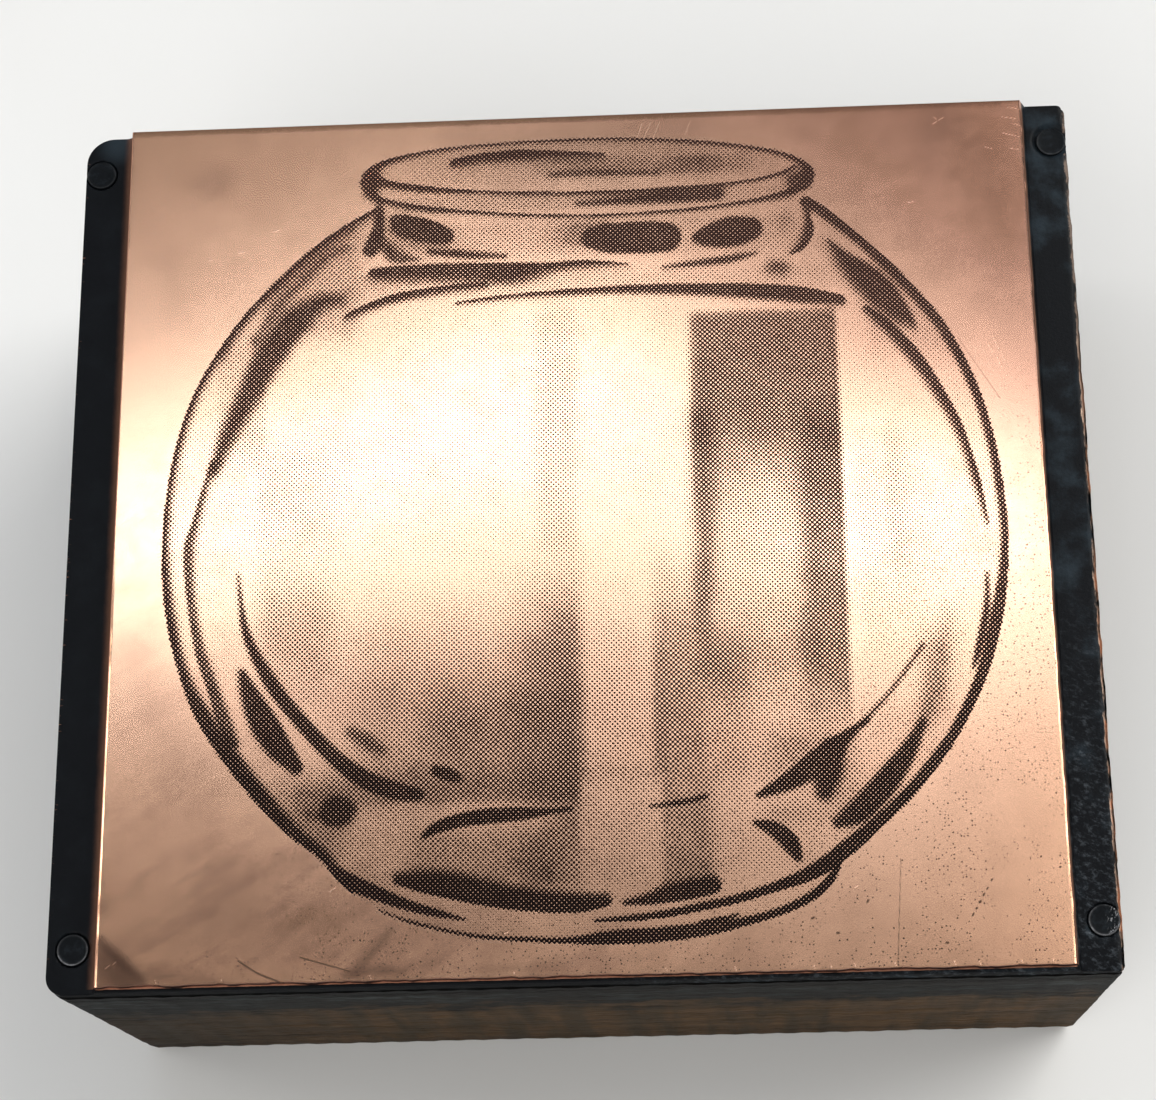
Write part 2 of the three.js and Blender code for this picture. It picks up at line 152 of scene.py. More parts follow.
# The base: cuts along each axis, how worn, sawn and rough its sides are, in lumps of which size each kind
# comes, and the pitch of the saw marks in its shape and in its colour
WOOD_CUTS = (110, 96, 48)
FOOT_WEAR, FOOT_WEAR_LUMP = 0.35 * MM, 6 * MM
FOOT_HEIGHT = 1.1 * MM
SAW_DEPTH, SAW_LUMP = 0.022 * MM, 4 * MM
SAW_PITCH = 1.7 * MM
SAW_SHADE_PITCH = 1.9 * MM
WOOD_ROUGHNESS, ROUGH_LUMP, ROUGH_LUMP_HEIGHT = 0.03 * MM, 3 * MM, 0.5 * MM

# The picture's screen of dots, the tone of the bowl's glass and how far its strokes are softened: at the
# back of the face, at the front, and how fast that changes
SCREEN_PITCH = 0.191 * MM
GLASS_TONE = 0.11
BACK_SPREAD = 2.3
FRONT_SPREAD = 1.1
SPREAD_RATE = 1.3

# How far the softness of a stroke, and of a stain and of painted shade, reaches at most, and how soft a
# fine mark's sides are
STROKE_REACH = 1.8 * MM
STAIN_AND_SHADE_REACH = 3 * MM
MARK_SOFTNESS = 0.06 * MM

# A plain round glass bowl in strokes. Each is how dark it is, how soft its left and right sides are in
# millimetres, and its points: place from the face's back left corner as shares of the face's width
# and depth, and half width as a share of the width.
# Where a stroke's two sides differ, the sharp dark side, mostly the one towards the back or outside the bowl,
# is partly painted shade of the etched recess's wall, and the soft side partly painted light on its lit wall
STROKE_SHARES = {
    "rim_back": (0.88, 0.04, 0.17, [
        (0.263, 0.075, 0.0039), (0.272, 0.062, 0.0058), (0.296, 0.049, 0.0039), (0.349, 0.038, 0.0024),
        (0.417, 0.033, 0.0021), (0.504, 0.031, 0.0021), (0.582, 0.034, 0.0023), (0.660, 0.042, 0.0025),
        (0.718, 0.054, 0.0029), (0.747, 0.066, 0.0039), (0.762, 0.081, 0.0048), (0.758, 0.094, 0.0068),
        (0.745, 0.104, 0.0039),
    ]),
    "rim_front_outer": (0.95, 0.04, 0.17, [
        (0.264, 0.079, 0.0029), (0.274, 0.094, 0.0048), (0.291, 0.102, 0.0034), (0.330, 0.111, 0.0029),
        (0.388, 0.119, 0.0023), (0.466, 0.126, 0.0021), (0.543, 0.128, 0.0021), (0.621, 0.125, 0.0022),
        (0.689, 0.118, 0.0024), (0.737, 0.108, 0.0039), (0.757, 0.097, 0.0058),
    ]),
    "rim_front_inner": (0.95, 0.04, 0.17, [
        (0.274, 0.071, 0.0068), (0.291, 0.079, 0.0048), (0.330, 0.087, 0.0044), (0.388, 0.093, 0.0025),
        (0.456, 0.097, 0.0021), (0.543, 0.099, 0.0023), (0.630, 0.097, 0.0025), (0.689, 0.092, 0.0023),
        (0.727, 0.084, 0.0021), (0.745, 0.075, 0.0019),
    ]),
    "rim_left_shade": (0.90, 0.25, 0.25, [
        (0.274, 0.070, 0.0078), (0.273, 0.087, 0.0078),
    ]),
    "rim_right_shade": (0.90, 0.25, 0.25, [
        (0.743, 0.091, 0.0078), (0.757, 0.083, 0.0058),
    ]),
    "rim_inside_top": (0.95, 0.05, 0.26, [
        (0.365, 0.055, 0.0048), (0.388, 0.051, 0.0058), (0.436, 0.048, 0.0068), (0.485, 0.049, 0.0044),
        (0.533, 0.051, 0.0019),
    ]),
    "rim_inside_mid": (0.70, 0.15, 0.15, [
        (0.475, 0.074, 0.0019), (0.514, 0.073, 0.0025), (0.553, 0.075, 0.0023), (0.592, 0.077, 0.0016),
    ]),
    "rim_front_tone": (0.90, 0.20, 0.15, [
        (0.504, 0.112, 0.0019), (0.563, 0.109, 0.0048), (0.611, 0.106, 0.0078), (0.658, 0.105, 0.0082),
    ]),
    "neck_left": (0.86, 0.12, 0.10, [
        (0.281, 0.107, 0.0039), (0.282, 0.124, 0.0063), (0.279, 0.142, 0.0078), (0.275, 0.155, 0.0092),
        (0.272, 0.162, 0.0087),
    ]),
    "neck_left_foot": (0.68, 0.15, 0.15, [
        (0.283, 0.148, 0.0048), (0.291, 0.162, 0.0073), (0.300, 0.171, 0.0082), (0.314, 0.174, 0.0049),
        (0.326, 0.176, 0.0019),
    ]),
    "neck_shade_left": (0.95, 0.07, 0.15, [
        (0.299, 0.125, 0.0068), (0.310, 0.132, 0.0131), (0.335, 0.140, 0.0141), (0.356, 0.147, 0.0087),
    ]),
    "neck_shade_mid": (0.95, 0.08, 0.10, [
        (0.519, 0.156, 0.0116), (0.540, 0.157, 0.0175), (0.575, 0.157, 0.0189), (0.600, 0.158, 0.0175),
    ]),
    "neck_shade_right": (0.95, 0.08, 0.14, [
        (0.637, 0.160, 0.0068), (0.652, 0.158, 0.0136), (0.674, 0.154, 0.0175), (0.694, 0.151, 0.0136),
    ]),
    "neck_right": (0.95, 0.05, 0.22, [
        (0.757, 0.117, 0.0029), (0.758, 0.139, 0.0039), (0.758, 0.157, 0.0068), (0.749, 0.175, 0.0048),
        (0.739, 0.183, 0.0019),
    ]),
    "neck_line": (0.90, 0.15, 0.15, [
        (0.339, 0.166, 0.0029), (0.378, 0.171, 0.0044), (0.422, 0.175, 0.0015),
    ]),
    "neck_line_right": (0.90, 0.15, 0.15, [
        (0.598, 0.195, 0.0015), (0.630, 0.192, 0.0039), (0.669, 0.188, 0.0053), (0.700, 0.182, 0.0015),
    ]),
    "shoulder_band": (0.86, 0.05, 0.30, [
        (0.277, 0.192, 0.0078), (0.310, 0.192, 0.0097), (0.369, 0.193, 0.0116), (0.427, 0.196, 0.0126),
        (0.475, 0.191, 0.0068), (0.514, 0.188, 0.0048), (0.558, 0.190, 0.0015),
    ]),
    "shoulder_line_left": (0.95, 0.05, 0.22, [
        (0.247, 0.243, 0.0024), (0.272, 0.232, 0.0048), (0.306, 0.221, 0.0048), (0.349, 0.214, 0.0039),
        (0.398, 0.209, 0.0029),
    ]),
    "shoulder_line_long": (0.97, 0.05, 0.22, [
        (0.369, 0.231, 0.0015), (0.417, 0.226, 0.0024), (0.485, 0.222, 0.0029), (0.563, 0.221, 0.0046),
        (0.630, 0.224, 0.0070), (0.689, 0.228, 0.0087), (0.747, 0.235, 0.0097), (0.790, 0.243, 0.0068),
    ]),
    "outline_left": (0.90, 0.30, 0.03, [
        (0.277, 0.114, 0.0048), (0.242, 0.135, 0.0044), (0.209, 0.161, 0.0048), (0.175, 0.195, 0.0048),
        (0.141, 0.234, 0.0048), (0.109, 0.282, 0.0044), (0.083, 0.334, 0.0039), (0.068, 0.385, 0.0039),
        (0.059, 0.437, 0.0035), (0.055, 0.497, 0.0039), (0.058, 0.556, 0.0048), (0.068, 0.616, 0.0053),
        (0.083, 0.667, 0.0058), (0.103, 0.709, 0.0087), (0.132, 0.753, 0.0097), (0.165, 0.798, 0.0087),
        (0.199, 0.837, 0.0068), (0.231, 0.864, 0.0053), (0.248, 0.886, 0.0048), (0.263, 0.906, 0.0015),
    ]),
    "wall_left": (0.74, 0.26, 0.08, [
        (0.105, 0.417, 0.0048), (0.096, 0.447, 0.0039), (0.087, 0.487, 0.0044), (0.081, 0.516, 0.0063),
        (0.083, 0.556, 0.0053), (0.089, 0.598, 0.0053), (0.099, 0.641, 0.0063), (0.112, 0.677, 0.0068),
        (0.124, 0.711, 0.0078), (0.136, 0.739, 0.0058),
    ]),
    "shadow_left": (0.88, 0.35, 0.30, [
        (0.239, 0.222, 0.0039), (0.215, 0.226, 0.0087), (0.190, 0.248, 0.0155), (0.167, 0.282, 0.0175),
        (0.147, 0.322, 0.0145), (0.130, 0.359, 0.0107), (0.115, 0.395, 0.0078), (0.105, 0.425, 0.0048),
    ]),
    "shadow_left_top": (0.60, 0.25, 0.25, [
        (0.246, 0.157, 0.0029), (0.225, 0.167, 0.0048), (0.202, 0.191, 0.0048), (0.178, 0.218, 0.0048),
        (0.159, 0.244, 0.0048), (0.145, 0.270, 0.0058),
    ]),
    "outline_right": (0.97, 0.03, 0.16, [
        (0.758, 0.120, 0.0068), (0.776, 0.134, 0.0063), (0.805, 0.161, 0.0058), (0.839, 0.197, 0.0058),
        (0.870, 0.236, 0.0058), (0.897, 0.275, 0.0058), (0.920, 0.324, 0.0053), (0.936, 0.373, 0.0048),
        (0.947, 0.427, 0.0044), (0.952, 0.477, 0.0044), (0.954, 0.516, 0.0039), (0.952, 0.556, 0.0044),
        (0.945, 0.600, 0.0063), (0.936, 0.638, 0.0068), (0.925, 0.675, 0.0063), (0.910, 0.711, 0.0058),
        (0.888, 0.751, 0.0058), (0.866, 0.782, 0.0063), (0.839, 0.814, 0.0063), (0.805, 0.846, 0.0068),
        (0.772, 0.873, 0.0087), (0.739, 0.896, 0.0078), (0.700, 0.911, 0.0053), (0.660, 0.923, 0.0048),
        (0.621, 0.931, 0.0044), (0.572, 0.939, 0.0039), (0.514, 0.943, 0.0019),
    ]),
    "wall_right": (0.86, 0.05, 0.24, [
        (0.818, 0.255, 0.0039), (0.836, 0.272, 0.0058), (0.855, 0.295, 0.0073), (0.875, 0.325, 0.0078),
        (0.893, 0.359, 0.0068), (0.910, 0.397, 0.0058), (0.920, 0.431, 0.0048), (0.928, 0.465, 0.0044),
        (0.933, 0.493, 0.0029), (0.937, 0.514, 0.0015),
    ]),
    "wall_right_low": (0.90, 0.15, 0.15, [
        (0.933, 0.571, 0.0015), (0.931, 0.606, 0.0034), (0.925, 0.636, 0.0044), (0.919, 0.659, 0.0039),
        (0.913, 0.677, 0.0019),
    ]),
    "shadow_right": (0.88, 0.14, 0.38, [
        (0.780, 0.170, 0.0029), (0.793, 0.190, 0.0097), (0.815, 0.214, 0.0165), (0.836, 0.238, 0.0175),
        (0.854, 0.260, 0.0116), (0.869, 0.276, 0.0029),
    ]),
    "sweep_left": (0.92, 0.18, 0.18, [
        (0.135, 0.548, 0.0010), (0.139, 0.581, 0.0024), (0.145, 0.614, 0.0044), (0.159, 0.647, 0.0058),
        (0.180, 0.683, 0.0073), (0.210, 0.722, 0.0078), (0.242, 0.758, 0.0082), (0.276, 0.784, 0.0087),
        (0.308, 0.797, 0.0087), (0.330, 0.802, 0.0058),
    ]),
    "lens_left": (0.92, 0.20, 0.28, [
        (0.142, 0.661, 0.0048), (0.152, 0.688, 0.0107), (0.166, 0.717, 0.0150), (0.183, 0.745, 0.0141),
        (0.202, 0.768, 0.0078),
    ]),
    "spot_left": (0.92, 0.30, 0.35, [
        (0.238, 0.818, 0.0087), (0.247, 0.818, 0.0165), (0.257, 0.817, 0.0092),
    ]),
    "spot_left_tail": (0.50, 0.30, 0.30, [
        (0.217, 0.820, 0.0039), (0.237, 0.822, 0.0058),
    ]),
    "smudge_upper": (0.55, 0.35, 0.35, [
        (0.260, 0.731, 0.0058), (0.276, 0.741, 0.0078), (0.290, 0.751, 0.0058),
    ]),
    "spot_mid": (0.90, 0.20, 0.20, [
        (0.349, 0.776, 0.0048), (0.361, 0.780, 0.0068), (0.372, 0.785, 0.0039),
    ]),
    "base_arc": (0.97, 0.15, 0.15, [
        (0.337, 0.847, 0.0024), (0.351, 0.838, 0.0058), (0.376, 0.831, 0.0073), (0.407, 0.827, 0.0078),
        (0.436, 0.826, 0.0068), (0.466, 0.824, 0.0029), (0.490, 0.822, 0.0015),
    ]),
    "base_arc_right": (0.85, 0.15, 0.15, [
        (0.572, 0.821, 0.0012), (0.603, 0.818, 0.0025), (0.630, 0.812, 0.0019),
    ]),
    "base_band": (0.97, 0.40, 0.12, [
        (0.312, 0.893, 0.0063), (0.339, 0.897, 0.0116), (0.378, 0.905, 0.0136), (0.417, 0.914, 0.0128),
        (0.456, 0.920, 0.0118), (0.495, 0.923, 0.0107), (0.524, 0.921, 0.0075),
    ]),
    "base_band_right": (0.97, 0.35, 0.12, [
        (0.545, 0.924, 0.0029), (0.572, 0.920, 0.0070), (0.601, 0.914, 0.0097), (0.635, 0.908, 0.0087),
    ]),
    "foot_left": (0.97, 0.12, 0.15, [
        (0.244, 0.881, 0.0039), (0.264, 0.896, 0.0078), (0.291, 0.909, 0.0073), (0.320, 0.921, 0.0058),
        (0.349, 0.930, 0.0044), (0.380, 0.938, 0.0015),
    ]),
    "foot_low": (0.97, 0.15, 0.10, [
        (0.291, 0.926, 0.0010), (0.320, 0.938, 0.0017), (0.359, 0.949, 0.0019), (0.398, 0.957, 0.0021),
        (0.446, 0.961, 0.0025), (0.490, 0.963, 0.0039), (0.529, 0.961, 0.0073), (0.582, 0.959, 0.0078),
        (0.630, 0.954, 0.0073), (0.669, 0.947, 0.0048), (0.702, 0.938, 0.0044), (0.731, 0.925, 0.0048),
        (0.752, 0.909, 0.0048), (0.765, 0.888, 0.0029),
    ]),
    "foot_split": (0.90, 0.10, 0.10, [
        (0.621, 0.947, 0.0015), (0.640, 0.945, 0.0029), (0.660, 0.940, 0.0015),
    ]),
    "wing_right": (0.97, 0.15, 0.25, [
        (0.685, 0.812, 0.0029), (0.710, 0.801, 0.0078), (0.735, 0.786, 0.0116), (0.758, 0.768, 0.0116),
        (0.778, 0.750, 0.0058), (0.799, 0.733, 0.0019),
    ]),
    "wing_right_drop": (0.85, 0.35, 0.35, [
        (0.763, 0.765, 0.0116), (0.757, 0.789, 0.0145), (0.753, 0.810, 0.0087),
    ]),
    "wing_line": (0.75, 0.20, 0.20, [
        (0.795, 0.736, 0.0029), (0.821, 0.707, 0.0023), (0.842, 0.679, 0.0025), (0.861, 0.651, 0.0014),
    ]),
    "lens_right": (0.90, 0.25, 0.25, [
        (0.766, 0.844, 0.0058), (0.788, 0.832, 0.0126), (0.811, 0.808, 0.0136), (0.830, 0.784, 0.0116),
        (0.846, 0.759, 0.0078), (0.857, 0.737, 0.0039),
    ]),
    "lens_right_tail": (0.32, 0.60, 0.60, [
        (0.857, 0.737, 0.0078), (0.873, 0.700, 0.0116), (0.885, 0.655, 0.0136), (0.890, 0.616, 0.0078),
    ]),
    "crescent": (0.97, 0.15, 0.20, [
        (0.681, 0.842, 0.0029), (0.700, 0.850, 0.0078), (0.715, 0.864, 0.0092), (0.723, 0.880, 0.0048),
    ]),
    "blob_neck_right": (0.75, 0.35, 0.35, [
        (0.719, 0.199, 0.0087), (0.727, 0.200, 0.0087),
    ]),
    "blob_neck_far": (0.30, 0.40, 0.40, [
        (0.732, 0.131, 0.0058), (0.732, 0.147, 0.0058),
    ]),
    "blob_rim": (0.40, 0.70, 0.70, [
        (0.621, 0.062, 0.0087), (0.640, 0.062, 0.0087),
    ]),
}

# Soft areas of the picture: left, right, back and front sides as shares of the face's width and depth,
# how dark the area is, and how soft those four sides are in millimetres
WASH_SHARES = [
    (0.624, 0.785, 0.252, 0.455, 0.62, 0.8, 0.35, 0.6, 8.0),
    (0.739, 0.785, 0.380, 0.730, 0.44, 1.6, 0.35, 4.0, 4.0),
    (0.628, 0.785, 0.455, 0.690, 0.22, 0.8, 0.4, 4.0, 5.0),
    (0.621, 0.648, 0.360, 0.600, 0.42, 1.2, 1.5, 3.0, 5.0),
    (0.640, 0.747, 0.600, 0.794, 0.27, 1.0, 1.5, 8.0, 2.5),
    (0.456, 0.500, 0.238, 0.526, 0.19, 1.2, 1.0, 2.0, 3.0),
    (0.446, 0.504, 0.548, 0.910, 0.36, 4.5, 0.7, 7.0, 0.8),
    (0.580, 0.638, 0.570, 0.922, 0.48, 1.1, 1.1, 8.0, 0.6),
    (0.245, 0.500, 0.616, 0.814, 0.42, 6.5, 0.8, 7.0, 1.0),
    (0.340, 0.460, 0.690, 0.760, 0.20, 3.0, 2.0, 2.5, 2.0),
    (0.160, 0.238, 0.556, 0.695, 0.36, 1.6, 2.6, 6.0, 5.0),
    (0.155, 0.242, 0.397, 0.516, 0.15, 1.0, 3.0, 3.0, 4.0),
    (0.500, 0.587, 0.620, 0.790, 0.32, 0.6, 0.6, 8.0, 1.6),
    (0.506, 0.575, 0.780, 0.905, 0.25, 0.6, 0.6, 1.6, 0.8),
    (0.190, 0.500, 0.775, 0.905, 0.24, 2.0, 2.0, 2.0, 1.0),
    (0.320, 0.475, 0.844, 0.899, 0.26, 1.5, 1.4, 1.0, 1.0),
    (0.635, 0.679, 0.636, 0.894, 0.22, 0.6, 2.0, 4.0, 1.0),
    (0.834, 0.851, 0.397, 0.556, 0.12, 0.4, 0.4, 2.0, 3.0),
    (0.800, 0.873, 0.417, 0.695, 0.08, 0.5, 1.5, 4.0, 4.0),
    (0.679, 0.747, 0.824, 0.894, 0.18, 1.0, 1.0, 1.0, 1.0),
    (0.291, 0.747, 0.134, 0.179, 0.24, 0.8, 0.8, 0.6, 0.8),
    (0.252, 0.776, 0.199, 0.226, 0.20, 2.0, 2.0, 0.8, 0.6),
    (0.155, 0.262, 0.129, 0.268, 0.34, 1.5, 1.2, 1.0, 2.0),
    (0.107, 0.160, 0.268, 0.417, 0.22, 0.6, 0.6, 2.0, 3.0),
    (0.820, 0.911, 0.134, 0.310, 0.22, 1.0, 1.0, 1.0, 3.0),
    (0.854, 0.888, 0.636, 0.735, 0.26, 1.0, 1.0, 2.0, 2.0),
    (0.466, 0.698, 0.055, 0.079, 0.34, 3.0, 1.5, 0.5, 0.5),
    (0.310, 0.700, 0.040, 0.085, 0.14, 2.0, 2.0, 1.0, 1.0),
    (0.300, 0.745, 0.098, 0.118, 0.26, 2.0, 0.5, 0.3, 0.3),
    (0.480, 0.540, 0.134, 0.166, 0.40, 2.4, 0.5, 0.7, 0.7),
    (0.285, 0.360, 0.130, 0.166, 0.24, 0.8, 1.2, 0.7, 0.7),
    (0.660, 0.700, 0.133, 0.160, 0.20, 1.0, 0.8, 0.7, 0.7),
    (0.107, 0.252, 0.785, 0.874, 0.26, 0.8, 2.0, 2.0, 1.0),
    (0.200, 0.262, 0.775, 0.835, 0.08, 1.4, 1.6, 1.4, 1.4),
    (0.690, 0.790, 0.745, 0.845, 0.26, 1.5, 1.5, 2.0, 1.0),
    (0.050, 0.110, 0.690, 0.860, 0.22, 0.8, 0.8, 2.0, 1.0),
    (0.747, 0.873, 0.715, 0.864, 0.16, 1.5, 0.8, 2.0, 1.0),
]

# Stains and darker marks on the face, written as the strokes above are. Some are painted shade: the lines
# along the front edge and along the back part of the right edge, and the dull patch at the front left
STAIN_AND_SHADE_SHARES = {
    "corner_wedge": (0.78, 0.30, 0.22, [(0.002, 0.950, 0.003), (0.026, 0.974, 0.006), (0.050, 0.997, 0.002)]),
    "corner_smoke": (0.55, 0.70, 0.60, [(0.002, 0.955, 0.004), (0.018, 0.980, 0.013), (0.040, 1.004, 0.012)]),
    "corner_fill": (0.50, 0.50, 0.50, [(0.000, 0.974, 0.010), (0.014, 0.992, 0.016), (0.034, 1.002, 0.012)]),
    "corner_trail": (0.35, 0.60, 0.60, [(0.030, 0.985, 0.006), (0.080, 0.992, 0.007), (0.135, 1.000, 0.003)]),
    "tarnish": (0.36, 2.20, 2.20, [(0.380, 0.030, 0.020), (0.510, 0.030, 0.030), (0.630, 0.020, 0.020)]),
    "spill": (0.52, 0.55, 0.35, [(0.268, 0.990, 0.005), (0.286, 0.968, 0.006), (0.305, 0.946, 0.002)]),
    "spill_foot": (0.50, 0.30, 0.30, [(0.256, 0.994, 0.003), (0.290, 0.990, 0.006), (0.318, 0.992, 0.002)]),
    "front_smear": (0.22, 0.50, 0.50, [(0.150, 0.985, 0.003), (0.185, 0.960, 0.004), (0.215, 0.930, 0.002)]),
    "far_smear": (0.25, 0.30, 0.30, [(0.340, 0.985, 0.003), (0.420, 0.990, 0.003), (0.560, 0.985, 0.002)]),
    "back_smudge": (0.26, 1.00, 1.00, [(0.080, 0.070, 0.010), (0.094, 0.068, 0.016), (0.110, 0.062, 0.008)]),
    "left_smudge": (0.16, 1.30, 1.30, [(0.046, 0.170, 0.010), (0.053, 0.196, 0.012), (0.060, 0.225, 0.006)]),
    "back_edge": (0.85, 0.07, 0.07, [(0.000, 0.000, 0.001), (0.500, 0.000, 0.001), (1.000, 0.000, 0.001)]),
    # Painted shade along the back part of the face's right edge
    "right_edge": (0.75, 0.07, 0.07, [(1.000, 0.000, 0.001), (1.000, 0.200, 0.001), (1.000, 0.400, 0.000)]),
    "left_edge": (0.50, 0.18, 0.18, [(0.000, 0.000, 0.000), (0.000, 0.060, 0.001), (0.000, 0.150, 0.000)]),
    # Painted shade along the face's front edge
    "front_edge": (0.60, 0.06, 0.06, [(0.0, 1.000, 0.0005), (0.500, 1.000, 0.0005), (1.000, 1.000, 0.0005)]),
    # A patch of painted shade at the front left, where the copper's reflection falls off dark
    "front_painted_shade": (0.30, 2.60, 2.60, [(0.120, 0.935, 0.025), (0.220, 0.930, 0.035), (0.390, 0.945, 0.025)]),
    "back_dull": (0.22, 2.80, 2.80, [(0.430, 0.090, 0.030), (0.520, 0.110, 0.040), (0.600, 0.100, 0.030)]),
    "corner_dull": (0.36, 2.60, 2.60, [(0.930, 0.030, 0.020), (0.960, 0.100, 0.025), (0.975, 0.180, 0.010)]),
    "right_dull": (0.12, 1.40, 1.40, [(0.880, 0.730, 0.010), (0.890, 0.760, 0.014), (0.895, 0.800, 0.010)]),
    "left_dull": (0.26, 2.00, 2.00, [(0.028, 0.630, 0.010), (0.055, 0.710, 0.018), (0.095, 0.800, 0.016)]),
}

# Fine marks on the face: both ends as shares, and half the width in millimetres. The last of the bright
# ones are nicks along the front edge
DARK_MARK_SHARES = [
    (0.828, 0.885, 0.820, 0.998, 0.012), (0.916, 0.293, 0.958, 0.368, 0.012),
    (0.147, 0.976, 0.166, 0.989, 0.035), (0.166, 0.989, 0.190, 1.000, 0.040),
    (0.211, 0.974, 0.262, 0.990, 0.028), (0.898, 0.947, 0.899, 0.945, 0.045),
    (0.902, 0.940, 0.903, 0.939, 0.050), (0.906, 0.933, 0.907, 0.932, 0.060),
    (0.910, 0.926, 0.911, 0.924, 0.045), (0.914, 0.919, 0.915, 0.918, 0.040),
    (0.919, 0.910, 0.920, 0.909, 0.045), (0.735, 0.946, 0.737, 0.945, 0.060),
    (0.760, 0.962, 0.762, 0.962, 0.055), (0.792, 0.930, 0.793, 0.928, 0.050),
    (0.870, 0.975, 0.872, 0.975, 0.050),
]
BRIGHT_MARK_SHARES = [
    (0.986, 0.009, 0.999, 0.012, 0.010), (0.979, 0.021, 0.994, 0.024, 0.012),
    (0.990, 0.030, 0.999, 0.033, 0.010), (0.977, 0.041, 0.997, 0.047, 0.012),
    (0.957, 0.058, 0.966, 0.061, 0.014), (0.984, 0.061, 0.997, 0.063, 0.010),
    (0.902, 0.027, 0.906, 0.024, 0.022), (0.909, 0.022, 0.914, 0.019, 0.016),
    (0.903, 0.018, 0.906, 0.021, 0.014), (0.124, 0.160, 0.131, 0.158, 0.018),
    (0.090, 0.167, 0.096, 0.168, 0.014), (0.163, 0.134, 0.169, 0.132, 0.014),
    (0.010, 0.981, 0.014, 0.978, 0.025), (0.018, 0.977, 0.021, 0.974, 0.020),
    (0.948, 0.300, 0.953, 0.312, 0.020), (0.958, 0.318, 0.962, 0.330, 0.016),
    (0.954, 0.292, 0.966, 0.322, 0.010), (0.870, 0.125, 0.876, 0.124, 0.014),
    (0.571, 0.030, 0.577, 0.012, 0.012), (0.580, 0.029, 0.587, 0.011, 0.010),
    (0.590, 0.029, 0.597, 0.011, 0.012), (0.625, 0.029, 0.631, 0.012, 0.010),
    (0.420, 0.955, 0.424, 0.953, 0.020), (0.240, 0.905, 0.247, 0.900, 0.014),
    (0.780, 0.915, 0.783, 0.913, 0.022),
]
FRONT_NICK_SHARES = [
    0.062, 0.130, 0.283, 0.430, 0.585, 0.655, 0.735, 0.752, 0.776, 0.817, 0.877, 0.902, 0.944, 0.976,
]
BRIGHT_MARK_SHARES += [(across, 0.9945, across + 0.0012, 0.9985, 0.016) for across in FRONT_NICK_SHARES]

# Colours of the finishes, of the table and of the light
COPPER_PINK = (0.92, 0.520, 0.325, 1)
COPPER_BROWN = (0.60, 0.305, 0.200, 1)
# Dull copper of the smears, also painted as shade at the face's lower left
COPPER_DULL_AND_SHADE = (0.50, 0.270, 0.175, 1)
COPPER_TAN = (0.86, 0.60, 0.45, 1)
# The colour of the face's stains, also used for its painted shade
COPPER_STAIN_AND_SHADE = (0.16, 0.085, 0.06, 1)
# Deep red copper, painted as shade on the front step's wall
COPPER_RED_SHADE = (0.075, 0.022, 0.015, 1)
# The ink at the back and the ink at the front; the change from one to the other is painted light
INK = (0.030, 0.014, 0.011, 1)
INK_DEEP = (0.007, 0.0035, 0.003, 1)
PIT_BROWN = (0.05, 0.022, 0.013, 1)
INK_BLUE = (0.0022, 0.0028, 0.0038, 1)
# The ink's pale bloom, also painted as a highlight in the flange's back left corner
INK_BLOOM_AND_HIGHLIGHT = (0.021, 0.031, 0.039, 1)
# The cove's copper, a matte brown that is partly its own colour and partly painted light
COVE_BROWN_AND_LIGHT = (0.19, 0.085, 0.050, 1)
SCUFF_GREY = (0.22, 0.25, 0.28, 1)
WOOD_BROWN = (0.042, 0.025, 0.012, 1)
WOOD_PALE = (0.118, 0.066, 0.029, 1)
WOOD_PATCH = (0.034, 0.026, 0.015, 1)
WOOD_PORE = (0.016, 0.011, 0.007, 1)
WOOD_SAWN = (0.022, 0.017, 0.011, 1)
# Painted shade on the wood's left side
WOOD_PAINTED_SHADE = (0.018, 0.015, 0.011, 1)
WOOD_INK = (0.004, 0.005, 0.005, 1)
WOOD_INK_RUBBED = (0.055, 0.066, 0.067, 1)
CRACK_BLACK = (0.005, 0.005, 0.005, 1)
STEEL_INK = (0.003, 0.004, 0.005, 1)
STEEL_INK_CLOUD = (0.010, 0.013, 0.016, 1)
STEEL_BARE = (0.42, 0.42, 0.43, 1)
FLOOR_DIM = (0.80, 0.79, 0.765, 1)
FLOOR_PALE = (0.84, 0.835, 0.815, 1)
BACKDROP = (0.80, 0.80, 0.79, 1)
ROOM_GREY = (0.23, 0.23, 0.23, 1)
DAYLIGHT = (0.92, 1.03, 1.20)
WARM_LIGHT = (1.0, 0.995, 0.98)
WHITE_LIGHT = (1, 1, 1)

# The table: its size, how far off it turns to backdrop, and how its rim rises, as (outward, upward)
FLOOR_RADIUS = 1.6
BACKDROP_START, BACKDROP_END = 0.16, 0.45
FLOOR_RIM = [(0.25, 0.06), (0.2, 0.2), (0.05, 0.4), (0.0, 0.5)]

# The level lamps above the face, and the camera, with its angles in degrees
CARD_HEIGHT = 0.44
CAMERA_PLACE = (8.63 * MM, -44.70 * MM, 150.93 * MM)
CAMERA_ANGLES = (16.081, 2.377, -1.011)
CAMERA_SENSOR, CAMERA_LENS = 36, 75.885
CAMERA_SHIFT = (-0.0623, 0.0952)


